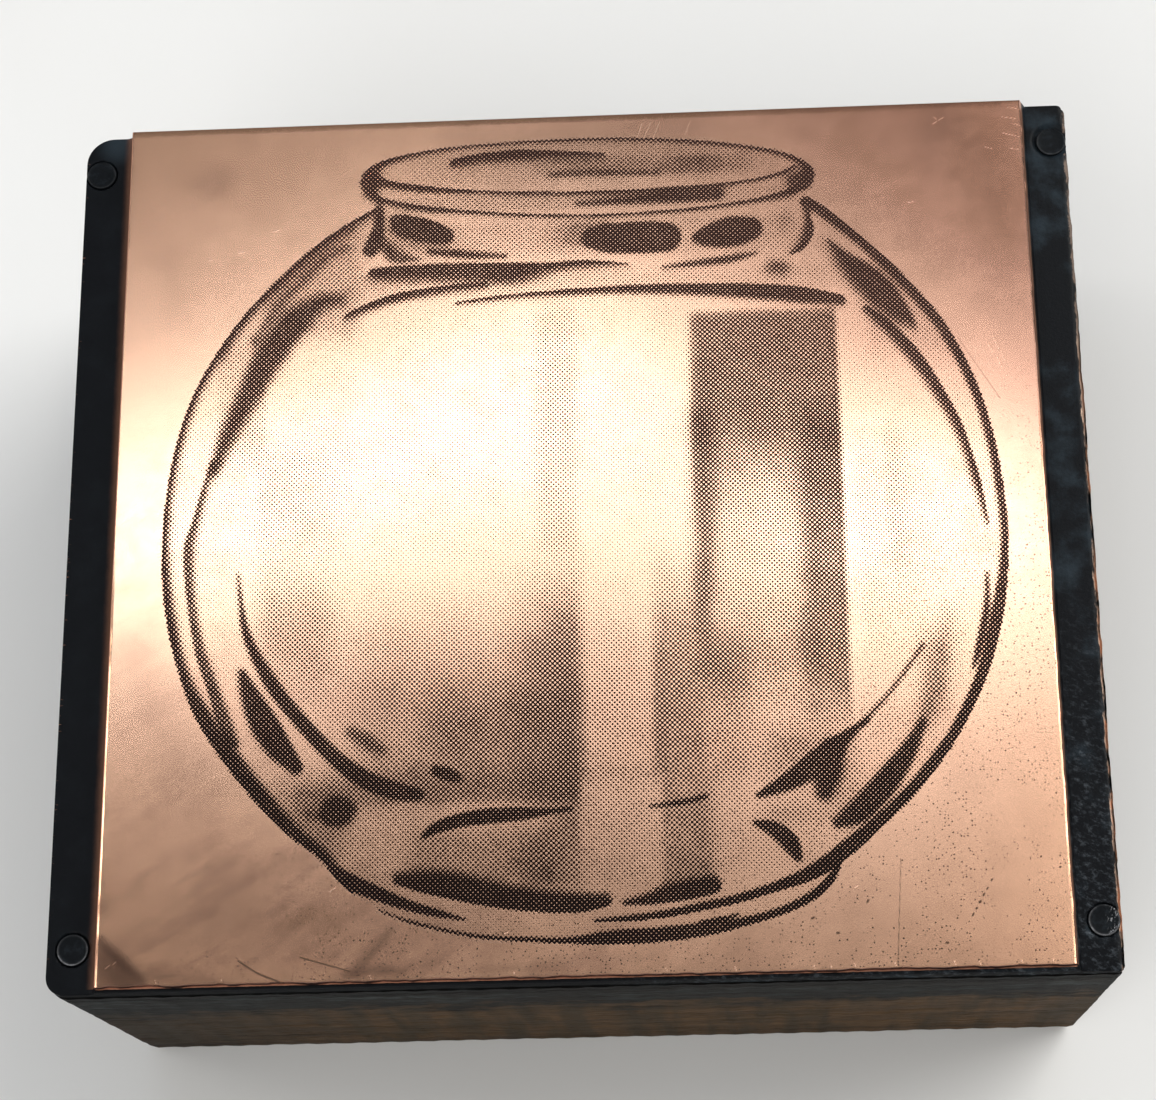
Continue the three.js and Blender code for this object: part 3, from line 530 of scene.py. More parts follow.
class Finish:
    """One material, with short calls for the nodes that the finishes of this block share."""

    def __init__(self, name):
        self.material = bpy.data.materials.new(name)
        self.material.use_nodes = True
        self.tree = self.material.node_tree
        self.shader = self.tree.nodes["Principled BSDF"]
        self.place = self.add("TexCoord").outputs["Object"]
        self.across, self.along, self.up = self.add("SeparateXYZ", [(0, self.place)]).outputs

    def add(self, kind, inputs=(), **settings):
        """A node of this kind. inputs is pairs of a socket's name or number and its value or source."""
        node = self.tree.nodes.new("ShaderNode" + kind)
        for name, value in settings.items():
            setattr(node, name, value)
        for name, value in inputs:
            self.set(node.inputs[name], value)
        return node

    def set(self, socket, value):
        """Links a socket to its source, or gives it its value."""
        if isinstance(value, bpy.types.NodeSocket):
            self.tree.links.new(value, socket)
        else:
            socket.default_value = value

    def math(self, operation, *values):
        return self.add("Math", enumerate(values), operation=operation).outputs[0]

    def join(self, operation, values):
        """All the values, joined one after the other."""
        joined, *others = values
        for value in others:
            joined = self.math(operation, joined, value)
        return joined

    def times(self, *values):
        return self.join("MULTIPLY", values)

    def plus(self, *values):
        return self.join("ADD", values)

    def less(self, *values):
        return self.join("SUBTRACT", values)

    def most(self, *values):
        return self.join("MAXIMUM", values)

    def scaled(self, value, factor, offset):
        """The value times a factor, plus an offset."""
        return self.math("MULTIPLY_ADD", value, factor, offset)

    def attribute(self, name):
        return self.add("Attribute", attribute_name=name).outputs["Fac"]

    def lumps(self, size, angle=0, shift=0.0):
        """The place in lumps of one size, or a size for each axis, turned by degrees about Z and shifted."""
        sizes = size if isinstance(size, tuple) else (size,) * 3
        turn = self.add("Mapping", [("Vector", self.place), ("Rotation", (0, 0, math.radians(angle)))])
        pairs = [(0, turn.outputs[0]), (1, [1 / length for length in sizes])]
        counted = self.add("VectorMath", pairs, operation="MULTIPLY").outputs[0]
        return self.add("VectorMath", [(0, counted), (1, (shift,) * 3)]).outputs[0]

    def noise(self, size, detail=2.0, roughness=0.5, angle=0, shift=0.0):
        """Cloudy noise from 0 to 1 in such lumps."""
        pairs = [("Vector", self.lumps(size, angle, shift)), ("Scale", 1.0), ("Detail", detail),
                 ("Roughness", roughness)]
        return self.add("TexNoise", pairs).outputs["Fac"]

    def rise(self, value, start, end):
        """0 before start and 1 after end, smooth between them."""
        pairs = [("Value", value), ("From Min", start), ("From Max", end)]
        return self.add("MapRange", pairs, interpolation_type="SMOOTHSTEP").outputs["Result"]

    def colour(self, share, first, second):
        """The first colour, with this share of the second."""
        return self.add("Mix", [(0, share), (6, first), (7, second)], data_type="RGBA").outputs[2]

    def number(self, share, first, second):
        """The first number, with this share of the second."""
        return self.add("Mix", [(0, share), (2, first), (3, second)]).outputs[0]

    def scratches(self, angle, length, width, share, shift):
        """Fine straight scratches that run at this angle. A larger share gives more of them."""
        lines = self.noise((length, width, length), 1.0, 0.4, angle, shift)
        return self.rise(lines, 0.76 - share, 0.80 - share)

    def specks(self, size, radius, share, shift=0.0):
        """Small round specks: cells of this size, of which this share holds one of up to this radius."""
        pairs = [("Vector", self.lumps(size, shift=shift)), ("Scale", 1.0)]
        cells = self.add("TexVoronoi", pairs, voronoi_dimensions="2D")
        chance = self.add("SeparateColor", [(0, cells.outputs["Color"])]).outputs
        reach = self.times(chance[1], radius / size)
        near = self.rise(self.math("DIVIDE", cells.outputs["Distance"], reach), 1.0, 0.6)
        return self.times(near, self.math("GREATER_THAN", chance[0], 1 - share))

    def finish(self, colour, roughness, metallic=0.0, height=None, relief=0.0, specular=0.5):
        """Sets the shader's inputs. height is a bump from 0 to 1 that is relief metres deep."""
        self.shader.inputs["Specular IOR Level"].default_value = specular
        self.set(self.shader.inputs["Base Color"], colour)
        self.set(self.shader.inputs["Roughness"], roughness)
        self.set(self.shader.inputs["Metallic"], metallic)
        if height is not None:
            bump = self.add("Bump", [("Height", height), ("Distance", relief)])
            self.set(self.shader.inputs["Normal"], bump.outputs[0])
        return self.material


def halftone_ink(f, front):
    """Where ink covers the face: dots that grow with the picture's tone, worn thin in patches."""
    screen = f.add("SeparateXYZ", [(0, f.lumps(SCREEN_PITCH / math.tau, 45))]).outputs
    waves = f.plus(f.math("COSINE", screen[0]), f.math("COSINE", screen[1]))
    dots = f.scaled(waves, 0.25, 0.5)
    tone = f.attribute("tone")
    worn = f.scaled(f.noise(0.5 * MM, 2.0, 0.6), 0.08, -0.14)
    worn = f.scaled(f.noise((3.0 * MM, 1.8 * MM, 3.0 * MM), 4.0, 0.6, 35, 6.0), 0.20, worn)
    cover = f.math("MINIMUM", f.times(tone, 0.97), f.number(front, 0.835, 0.865))
    return f.times(f.rise(f.plus(cover, dots, worn), 0.94, 1.04), f.rise(tone, 0.01, 0.06))


def face_copper(f, mottle, low_left, low_right):
    """The face's copper: pink, brown at the back right, dull in smears, darker in painted shade, stained and
    pitted.
    """
    back_right = f.scaled(f.noise(16 * MM, 3.0), 3 * MM, f.scaled(f.along, 0.7, f.across))
    copper = f.colour(f.rise(back_right, 15 * MM, 40 * MM), COPPER_PINK, COPPER_BROWN)
    bent = f.noise((12 * MM, 2.2 * MM, 8 * MM), 5.0, 0.62, -30, 3.0)
    smears_and_shade = f.rise(f.scaled(f.noise(4 * MM, 4.0, 0.6), 0.8, bent), 0.80, 1.15)
    # The smears grow stronger towards the lower left: partly real smears, partly painted shade where the
    # copper's reflection falls off dark
    smears_and_shade = f.times(smears_and_shade, f.scaled(low_left, 0.50, 0.05))
    copper = f.colour(f.scaled(mottle, 0.035, smears_and_shade), copper, COPPER_DULL_AND_SHADE)
    # The stain table's stains and painted shade darken the copper
    copper = f.colour(f.attribute("stain_and_shade"), copper, COPPER_STAIN_AND_SHADE)
    clusters = f.times(f.rise(f.noise(3 * MM, shift=5.0), 0.34, 0.52), low_right)
    pits = f.times(f.specks(0.20 * MM, 0.058 * MM, 0.50), clusters)
    few_pits = f.times(f.specks(0.6 * MM, 0.062 * MM, 0.60, 7.0), f.scaled(low_right, 0.9, 0.1))
    pitted = f.most(pits, few_pits, f.attribute("dark_mark"))
    return f.colour(f.times(pitted, 0.85), copper, PIT_BROWN)


def face_relief(f, ink, lines, burrs, low_left, low_right):
    """The height of the face's grain, brushing, scratches and burrs, and of the etching under the ink."""
    height = f.times(f.noise(0.10 * MM, 2.0, 0.6, shift=2.0), f.scaled(low_right, 0.24, 0.006))
    brushed = f.noise((5 * MM, 0.5 * MM, 1 * MM), 2.0, 0.5, -32, 2.0)
    height = f.scaled(brushed, f.scaled(low_left, 0.24, 0.05), height)
    height = f.less(height, f.times(lines, 0.04))
    height = f.scaled(burrs, 0.5, height)
    height = f.less(height, f.times(ink, 0.25))
    return f.scaled(f.noise(7 * MM, 1.0, 0.4, shift=4.0), 0.5, height)


def etched_copper():
    """The printing face: satin copper, tarnished and scratched, with dark ink in the screen of dots, and
    painted light and shade.
    """
    f = Finish("etched_copper")
    front = f.rise(f.along, 6 * MM, -16 * MM)
    low_left = f.rise(f.scaled(f.across, 0.5, f.along), -8 * MM, -32 * MM)
    low_right = f.rise(f.less(f.times(f.across, 0.6), f.along), -2 * MM, 22 * MM)
    mottle = f.rise(f.noise(1.6 * MM, 4.0, 0.65), 0.35, 0.75)
    burrs = f.attribute("bright_mark")
    lines = f.most(f.scratches(-35, 5 * MM, 0.05 * MM, 0.025, 1.0),
                   f.scratches(-12, 0.9 * MM, 0.07 * MM, 0.015, 9.0))
    ink = halftone_ink(f, front)
    # The ink is painted lighter and browner towards the back and darker at the front: painted light on the
    # ink at the back
    colour = f.colour(ink, face_copper(f, mottle, low_left, low_right), f.colour(front, INK, INK_DEEP))
    polish = f.scaled(burrs, 0.14, f.scaled(lines, 0.035, f.scaled(mottle, 0.026, 0.197)))
    height = face_relief(f, ink, lines, burrs, low_left, low_right)
    return f.finish(colour, f.number(ink, polish, 0.5), f.scaled(ink, -0.4, 1.0), height, 0.005 * MM, 0.10)


def flange_ink(f, cloud, right_side):
    """The dried ink: blue-black, with a pale bloom at the right, a painted highlight in the back left corner,
    and scuffs.
    """
    bloom_and_highlight = f.times(cloud, f.scaled(right_side, 0.90, 0.10))
    # The pale patch in the back left corner is a painted highlight
    corner = (LEFT + 1.9 * MM, BACK - 0.4 * MM, FLANGE_TOP)
    away = f.add("VectorMath", [(0, f.place), (1, corner)], operation="DISTANCE").outputs["Value"]
    bloom_and_highlight = f.most(bloom_and_highlight, f.times(f.rise(away, 1.7 * MM, 0.2 * MM), 0.8))
    ink = f.colour(bloom_and_highlight, INK_BLUE, INK_BLOOM_AND_HIGHLIGHT)
    rubbed = f.rise(f.noise((0.5 * MM, 0.3 * MM, 0.5 * MM), 6.0, 0.75, 25, 6.0), 0.48, 0.74)
    scuffs = f.times(rubbed, f.scaled(cloud, 0.7, 0.5), right_side, f.rise(f.along, 0, -18 * MM), 0.50)
    return f.colour(scuffs, ink, SCUFF_GREY)


def bare_copper(f, ragged, right_side, behind_step, on_step):
    """Where no ink is left: the right wall's top, the front step, the filed edge and small chips."""
    climbed = f.scaled(ragged, 0.24 * MM, f.less(f.up, 0.12 * MM))
    rim = f.times(f.rise(climbed, TYPE_HEIGHT - 0.45 * MM, TYPE_HEIGHT - 0.02 * MM), right_side, behind_step)
    ledge = f.rise(f.scaled(ragged, -0.08 * MM, f.along), FACE_FRONT - 0.15 * MM, FACE_FRONT - 0.12 * MM)
    filed = f.rise(f.scaled(ragged, 0.7 * MM, f.across), RIGHT + 0.10 * MM, RIGHT + 0.20 * MM)
    patchy = f.rise(f.noise((1.2 * MM, 2.4 * MM, 1.2 * MM), 4.0, 0.7, shift=5.0), 0.42, 0.52)
    filed = f.times(filed, patchy, f.scaled(f.rise(f.along, 14 * MM, 4 * MM), 0.8, 0.2))
    chips = f.rise(f.noise((0.9 * MM, 0.09 * MM, 0.9 * MM), 3.0, 0.6, shift=8.0), 0.64, 0.74)
    chips = f.times(chips, f.rise(f.across, LEFT + 0.25 * MM, LEFT))
    bare = f.most(rim, f.times(ledge, on_step), filed, chips)

    # Grime hides it again on the back edge, and low on the sides at the back
    grime = f.rise(f.noise((3.5 * MM, 3.5 * MM, 0.5 * MM), 6.0, 0.7, shift=11.0), 0.40, 0.62)
    grime = f.times(grime, f.rise(f.along, BACK - 0.04 * MM, BACK - 0.01 * MM), 0.7)
    low_edge = f.times(f.rise(f.up, WOOD_TOP + 0.9 * MM, WOOD_TOP + 0.2 * MM), f.rise(f.along, 0, 20 * MM))
    return f.times(bare, f.less(1.0, f.most(grime, low_edge)))


def edge_copper(f, on_step):
    """The bare copper's colour: brown, a painted shade of deep red on the front step's wall, and tan on the
    filed edge.
    """
    below_face = f.rise(f.up, TYPE_HEIGHT - 0.02 * MM, TYPE_HEIGHT - 0.08 * MM)
    above_step = f.rise(f.up, TYPE_HEIGHT - STEP_DROP, TYPE_HEIGHT - 0.36 * MM)
    at_front = f.rise(f.along, FACE_FRONT + 0.3 * MM, FACE_FRONT + 0.2 * MM)
    # The front step's wall is painted deep red: painted shade in the step below the face's front edge
    copper = f.colour(f.times(below_face, on_step, above_step, at_front), COPPER_BROWN, COPPER_RED_SHADE)
    return f.colour(f.rise(f.across, RIGHT - 0.8 * MM, RIGHT - 0.5 * MM), copper, COPPER_TAN)


def inked_copper():
    """The plate's flanges, walls and edges: copper under dried ink, bare where it is filed or rubbed."""
    f = Finish("inked_copper")
    cloud = f.rise(f.noise(2.4 * MM, 5.0, 0.62), 0.46, 0.78)
    ragged = f.noise((0.5 * MM, 1.4 * MM, 0.5 * MM), 6.0, 0.7, shift=2.0)
    right_side = f.rise(f.across, 0, 5 * MM)
    behind_step = f.rise(f.along, FACE_FRONT - 0.03 * MM, FACE_FRONT)
    on_step = f.times(f.rise(f.across, FACE_LEFT - 0.1 * MM, FACE_LEFT),
                      f.rise(f.across, FACE_RIGHT + 0.1 * MM, FACE_RIGHT))
    # Copper shows on the cove below the face's edge: its own colour, painted as a matte brown that stands for
    # the light the cove catches, fading to the ink's black down the cove
    cove = f.rise(f.scaled(ragged, 0.25 * MM, f.less(f.across, 0.12 * MM)),
                  FACE_LEFT - 0.75 * MM, FACE_LEFT + 0.05 * MM)
    cove = f.times(cove, f.less(1.0, right_side), behind_step)
    colour = f.colour(cove, flange_ink(f, cloud, right_side), COVE_BROWN_AND_LIGHT)
    bare = bare_copper(f, ragged, right_side, behind_step, on_step)
    colour = f.colour(bare, colour, edge_copper(f, on_step))
    front_face = f.times(f.rise(f.along, PLATE_FRONT + 0.08 * MM, PLATE_FRONT + 0.02 * MM),
                         f.rise(f.up, TYPE_HEIGHT - STEP_DROP, TYPE_HEIGHT - 0.50 * MM))
    ink_roughness = f.scaled(front_face, 0.45, f.scaled(cloud, 0.2, 0.36))
    height = f.noise(0.16 * MM, 4.0, 0.7)
    return f.finish(colour, f.number(bare, ink_roughness, 0.34), bare, height, 0.02 * MM, 0.09)


def sawn_wood(f, light, patches, pores, saw):
    """The wood's colour where no ink has run: grain, dark patches, pores and saw marks, painted shade at the
    left.
    """
    brown = f.colour(light, WOOD_BROWN, WOOD_PALE)
    brown = f.colour(f.times(f.rise(patches, 0.40, 0.64), 0.65), brown, WOOD_PATCH)
    brown = f.colour(f.times(pores, 0.7), brown, WOOD_PORE)
    sawn = f.times(f.rise(saw, 0.2, 1.0), f.rise(patches, 0.30, 0.60), 0.22)
    brown = f.colour(sawn, brown, WOOD_SAWN)
    # Painted shade: the wood is darker towards the left
    painted_shade_left = f.rise(f.scaled(patches, 16 * MM, f.across), -2 * MM, -24 * MM)
    return f.colour(f.times(painted_shade_left, 0.80), brown, WOOD_PAINTED_SHADE)


def wood_stain(f, brown, edge, streaks):
    """The wood's colour with the ink that ran down from the plate."""
    near_top = f.rise(f.up, WOOD_TOP - 8 * MM, WOOD_TOP - 2 * MM)
    ink = f.colour(f.times(streaks, near_top), WOOD_INK, WOOD_INK_RUBBED)
    reach = f.scaled(edge, 14 * MM, f.less(f.up, 7 * MM))
    stained = f.rise(reach, WOOD_TOP - 9 * MM, WOOD_TOP - 5 * MM)
    return f.colour(f.times(stained, 0.93), brown, ink)


def stained_hardwood():
    """The base: sawn hardwood, brown with age, blue-black with ink under the plate."""
    f = Finish("stained_hardwood")
    grain = f.noise((26 * MM, 26 * MM, 1.7 * MM), 6.0, 0.7)
    fibres = f.noise((6 * MM, 6 * MM, 0.30 * MM), 4.0, 0.7, shift=4.0)
    patches = f.noise((1.6 * MM, 1.6 * MM, 14 * MM), 4.0, 0.6, shift=2.0)
    pores = f.rise(f.noise((1.4 * MM, 1.4 * MM, 0.13 * MM), 2.0, 0.5, shift=6.0), 0.60, 0.68)
    wobble = f.scaled(f.noise((3 * MM, 3 * MM, 14 * MM), 3.0), 2.0 * MM, f.plus(f.across, f.along))
    saw = f.math("SINE", f.times(wobble, math.tau / SAW_SHADE_PITCH))
    light = f.rise(f.plus(f.times(grain, 0.65), f.times(fibres, 0.35)), 0.36, 0.66)
    brown = sawn_wood(f, light, patches, pores, saw)

    edge = f.noise((4 * MM, 4 * MM, 2.5 * MM), 5.0, 0.7, shift=9.0)
    rubbed = f.noise((5 * MM, 5 * MM, 0.8 * MM), 6.0, 0.75, shift=14.0)
    streaks = f.times(f.rise(rubbed, 0.47, 0.62), f.rise(edge, 0.38, 0.56))
    colour = wood_stain(f, brown, edge, streaks)

    cracks = f.rise(f.noise((16 * MM, 16 * MM, 0.5 * MM), 4.0, 0.6, shift=3.0), 0.665, 0.70)
    under_plate = f.scaled(edge, 2 * MM, f.less(f.up, 1 * MM))
    under_plate = f.rise(under_plate, WOOD_TOP - 1.6 * MM, WOOD_TOP - 0.4 * MM)
    cracks = f.most(cracks, f.times(under_plate, 0.8))
    colour = f.colour(f.times(cracks, 0.85), colour, CRACK_BLACK)
    height = f.plus(f.times(fibres, 0.4), f.times(grain, 0.4))
    height = f.less(height, f.times(pores, 0.35), f.times(cracks, 0.8))
    height = f.scaled(saw, 0.12, height)
    return f.finish(colour, f.scaled(streaks, 0.15, 0.62), 0.0, height, 0.25 * MM, 0.06)


def inked_steel():
    """The brads' heads: steel under dried ink, rubbed grey along the rim and brighter at its front as a
    painted highlight, scarred by the hammer.
    """
    f = Finish("inked_steel")
    cloud = f.rise(f.noise(0.5 * MM, 5.0, 0.65), 0.45, 0.75)
    ink = f.colour(cloud, STEEL_INK, STEEL_INK_CLOUD)
    rub = f.times(f.attribute("rubbed"), f.rise(cloud, -0.6, 0.9))
    torn = f.rise(f.noise((0.10 * MM, 0.30 * MM, 0.2 * MM), 5.0, 0.7, 20, 4.0), 0.56, 0.64)
    scarred = f.times(torn, f.rise(f.attribute("head_x"), 0.0, 0.6), f.attribute("scarred"), 0.7)
    bare = f.most(rub, scarred)
    height = f.noise(0.12 * MM, 4.0, 0.7)
    return f.finish(f.colour(bare, ink, STEEL_BARE), f.number(bare, 0.42, 0.3), bare, height, 0.01 * MM, 0.08)


def smooth(value):
    """0 below 0, 1 above 1, smooth between them."""
    held = np.clip(value, 0.0, 1.0)
    return held * held * (3 - 2 * held)


def spaced(start, end, step):
    """Even places from start up to, but not including, end."""
    count = max(1, round((end - start) / step))
    return [start + (end - start) * i / count for i in range(count)]


def wander(places, wavers, bend=float):
    """The sum of some wavers along a line of places. bend changes each one, which is from -1 to 1."""
    return sum(depth * np.array([bend(noise.noise((place / length, seed, 0.5))) for place in places])
               for depth, length, seed in wavers)


def stroke_line(points, steps=4):
    """A stroke's smooth middle line with its half widths, in metres from the face's back left corner."""
    placed = [Vector((across * FACE_WIDTH, down * FACE_DEPTH, half * FACE_WIDTH))
              for across, down, half in points]
    ends = [2 * placed[0] - placed[1], *placed, 2 * placed[-1] - placed[-2]]
    line = []
    for before, start, end, after in zip(ends, ends[1:], ends[2:], ends[3:]):
        for step in range(steps):
            t = step / steps
            bend = (2 * start + (end - before) * t + (2 * before - 5 * start + 4 * end - after) * t ** 2
                    + (3 * start - before - 3 * end + after) * t ** 3)
            line.append(bend / 2)
    return np.array([*line, placed[-1]])


def stroke_depth(across, down, line):
    """How far each place is outside a stroke, and whether it is to the stroke's right."""
    outside = np.full(across.shape, 1.0)
    right = np.zeros(across.shape, bool)
    for (x0, y0, half0), (x1, y1, half1) in zip(line, line[1:]):
        run_x, run_y = x1 - x0, y1 - y0
        share = ((across - x0) * run_x + (down - y0) * run_y) / (run_x ** 2 + run_y ** 2)
        share = np.clip(share, 0.0, 1.0)
        off_x, off_y = across - x0 - share * run_x, down - y0 - share * run_y
        gap = np.hypot(off_x, off_y) - (half0 + share * (half1 - half0))
        nearer = gap < outside
        outside = np.where(nearer, gap, outside)
        right = np.where(nearer, run_x * off_y - run_y * off_x > 0, right)
    return outside, right


def strokes_near(table, across, down, margin):
    """Each stroke's darkness, and for the places near it the softness, their numbers and stroke_depth."""
    for dark, soft_left, soft_right, points in table.values():
        line = stroke_line(points)
        reach = line[:, 2].max() + margin
        low, high = line[:, :2].min(0) - reach, line[:, :2].max(0) + reach
        near = (across > low[0]) & (across < high[0]) & (down > low[1]) & (down < high[1])
        near = np.flatnonzero(near)
        outside, right = stroke_depth(across[near], down[near], line)
        yield dark, np.where(right, soft_right, soft_left) * MM, near, outside


def draw(bare, table, across, down, margin, spread):
    """Darkens the places under the strokes of a table. bare is how light each place is so far."""
    for dark, soft, near, outside in strokes_near(table, across, down, margin):
        bare[near] *= 1 - dark * smooth(0.5 - outside / (2 * spread[near] * soft))


def in_bowl(across, down):
    """Whether each place lies inside the bowl's outline."""
    left, foot, right, rim = (stroke_line(STROKE_SHARES[name][3])[:, :2]
                              for name in ("outline_left", "foot_low", "outline_right", "rim_back"))
    outline = np.vstack([left, foot, right[: len(right) * 3 // 4][::-1], rim[::-1]])
    inside = np.zeros(across.shape, bool)
    for (x0, y0), (x1, y1) in zip(outline, np.roll(outline, -1, 0)):
        if y0 != y1:
            crossed = (y0 > down) != (y1 > down)
            inside ^= crossed & (across < (x1 - x0) * (down - y0) / (y1 - y0) + x0)
    return inside


def picture_tone(x, y):
    """How much of the surface the ink takes at each place of the face, from 0 to 1."""
    across, down = x - FACE_LEFT, BACK - y
    bare = np.ones(x.shape)
    inside = in_bowl(across, down)
    bare[inside] = 1 - GLASS_TONE
    for low_x, high_x, low_y, high_y, dark, *soft in WASH_SHARES:
        shares = [across - low_x * FACE_WIDTH, high_x * FACE_WIDTH - across,
                  down - low_y * FACE_DEPTH, high_y * FACE_DEPTH - down]
        wash = dark * np.prod([smooth(s / (edge * MM) + 0.5) for s, edge in zip(shares, soft)], axis=0)
        bare[inside] *= 1 - wash[inside]
    forward = np.clip(SPREAD_RATE * down / FACE_DEPTH, 0.0, 1.0)
    spread = BACK_SPREAD + (FRONT_SPREAD - BACK_SPREAD) * forward
    draw(bare, STROKE_SHARES, across, down, STROKE_REACH, spread)
    return 1 - bare


def face_stain_and_shade(x, y):
    """How much stain and painted shade darken each place of the face, from 0 to 1."""
    clean = np.ones(x.shape)
    draw(clean, STAIN_AND_SHADE_SHARES, x - FACE_LEFT, BACK - y, STAIN_AND_SHADE_REACH, np.ones(x.shape))
    return 1 - clean


def stroke_edges(x, y, reach, core):
    """Whether each place is near a stroke's edge: less than reach outside it and core inside it."""
    near_edge = np.zeros(x.shape, bool)
    for _, _, near, outside in strokes_near(STROKE_SHARES, x - FACE_LEFT, BACK - y, reach):
        near_edge[near] |= (outside < reach) & (outside > -core)
    return near_edge


def mark_gap(table, x, y):
    """How far each place is from the nearest mark of a table, less half that mark's width."""
    nearest = np.full(x.shape, 1.0)
    for across0, down0, across1, down1, half in table:
        ends = [(FACE_LEFT + across * FACE_WIDTH, BACK - down * FACE_DEPTH, half * MM)
                for across, down in ((across0, down0), (across1, down1))]
        nearest = np.minimum(nearest, stroke_depth(x, y, ends)[0])
    return nearest


def face_mark(table, x, y):
    """1 on the marks of a table, 0 off them."""
    return smooth(0.5 - mark_gap(table, x, y) / MARK_SOFTNESS)


def brad_places():
    """Each brad's name, the middle of its head, the head's radius and its settings."""
    for name, settings in BRADS.items():
        low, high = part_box(name)
        middle = (low + high) / 2
        yield name, middle, (high.x - low.x) / 2, settings


def plate_columns():
    """Places across the plate, close together on its edges and walls."""
    foot = FACE_LEFT - COVE_RUN
    cove_top = FACE_LEFT - COVE_LAND
    cove = [cove_top - (COVE_RUN - COVE_LAND) * (k / COVE_STEPS) ** 2 for k in range(COVE_STEPS, 0, -1)]
    wall_foot = FACE_RIGHT + WALL_RUN
    return [
        LEFT, LEFT + EDGE_EASE / 3, *spaced(LEFT + EDGE_EASE, foot, FLANGE_CELL), *cove,
        *spaced(cove_top, FACE_LEFT, COVE_LAND / 3), FACE_LEFT, FACE_LEFT + RIM_EASE,
        FACE_LEFT + RIM_WIDTH - RIM_EASE, FACE_LEFT + RIM_WIDTH,
        *spaced(FACE_LEFT + RIM_WIDTH + RIM_EASE, FACE_RIGHT - RIM_WIDTH - RIM_EASE, FACE_CELL),
        FACE_RIGHT - RIM_WIDTH - RIM_EASE, FACE_RIGHT - RIM_WIDTH, FACE_RIGHT - RIM_WIDTH + RIM_EASE,
        FACE_RIGHT - RIM_EASE, *spaced(FACE_RIGHT, wall_foot, WALL_RUN / WALL_STEPS),
        *spaced(wall_foot, RIGHT - FILED_WIDTH, FLANGE_CELL),
        *spaced(RIGHT - FILED_WIDTH, RIGHT, FILED_WIDTH / FILE_STEPS), RIGHT,
    ]


def plate_rows():
    """Places along the plate from its front to its back, close together at both ends."""
    return [
        PLATE_FRONT, PLATE_FRONT + EDGE_EASE / 3, PLATE_FRONT + EDGE_EASE, FACE_FRONT - STEP_WALL_RUN,
        FACE_FRONT, FACE_FRONT + EDGE_EASE / 3,
        *spaced(FACE_FRONT + EDGE_EASE, BACK - EDGE_EASE, FACE_CELL),
        BACK - EDGE_EASE, BACK - EDGE_EASE / 3, BACK,
    ]


def cove_and_wall(x):
    """The height across the plate: left flange, cove, face, right wall and right flange."""
    cove_top = FACE_LEFT - COVE_LAND
    run = np.clip((cove_top - x) / (COVE_RUN - COVE_LAND), 0.0, 1.0)
    cove = FLANGE_TOP + (1 - np.sqrt(run)) ** 2 * (FLANGE_DROP - COVE_LAND)
    over = np.clip((FACE_LEFT - x) / COVE_LAND, 0.0, 1.0)
    land = TYPE_HEIGHT - COVE_LAND * (1 - np.sqrt(1 - over ** 2))
    wall = TYPE_HEIGHT - FLANGE_DROP * np.clip((x - FACE_RIGHT) / WALL_RUN, 0.0, 1.0)
    return np.where(x < cove_top, cove, np.where(x < FACE_LEFT, land, wall))


def plate_height(x, y):
    """The height of the plate's upper surface, with worn rims and eased edges, but without the dimples."""
    height = cove_and_wall(x)
    in_rim = np.maximum(FACE_LEFT - x, x - FACE_RIGHT) / RIM_WIDTH + 1
    worn = smooth((np.where(x < 0, LEFT_WEAR_START, RIGHT_WEAR_START) - y) / WEAR_RUN)
    worn *= 1 + wander(y, RIM_WAVERS)
    height -= RIM_DROP * worn * np.clip(in_rim, 0.0, 1.0) * (height - FLANGE_TOP) / FLANGE_DROP
    filed = np.clip((x - RIGHT + FILED_WIDTH) / FILED_WIDTH, 0.0, 1.0)
    height -= FILED_HEIGHT * filed ** 1.5 * (1 - MILD_SHARE * smooth((y - MILD_START) / MILD_RUN))
    step = np.clip((FACE_FRONT - y) / STEP_WALL_RUN, 0.0, 1.0)
    height = np.where(y < FACE_FRONT, np.minimum(height, TYPE_HEIGHT - STEP_DROP * step), height)
    edge = np.minimum(np.minimum(x - LEFT, RIGHT - x), np.minimum(y - PLATE_FRONT, BACK - y))
    eased = np.clip(1 - edge / EDGE_EASE, 0.0, 1.0)
    return height - EDGE_EASE * (1 - np.sqrt(1 - eased ** 2))


def with_dimples(height, x, y):
    """The upper surface's height with the dimples round the brads, which spare the face."""
    for _, middle, radius, settings in brad_places():
        away = np.hypot(x - middle.x, y - middle.y)
        dimple = smooth((radius + settings["margin"] - away) / settings["margin"])
        height = height - SEAT_DEPTH * dimple * (height < TYPE_HEIGHT - COVE_LAND)
    return height


def round_corners(x, y, low, high):
    """Pulls places in the corners of a box in to the corners' radii."""
    for side, end, radius in CORNERS:
        middle_x = (high.x - radius) if side > 0 else (low.x + radius)
        middle_y = (high.y - radius) if end > 0 else (low.y + radius)
        off_x, off_y = x - middle_x, y - middle_y
        corner = (off_x * side > 0) & (off_y * end > 0)
        square = np.maximum(np.abs(off_x), np.abs(off_y))
        pull = np.where(corner, square / np.maximum(np.hypot(off_x, off_y), ROUNDING), 1.0)
        x, y = middle_x + off_x * pull, middle_y + off_y * pull
    return x, y


def beside(distance, reach, hold):
    """1 at an edge, falling to 0 at a distance of hold times the reach."""
    return smooth(hold - distance / reach)


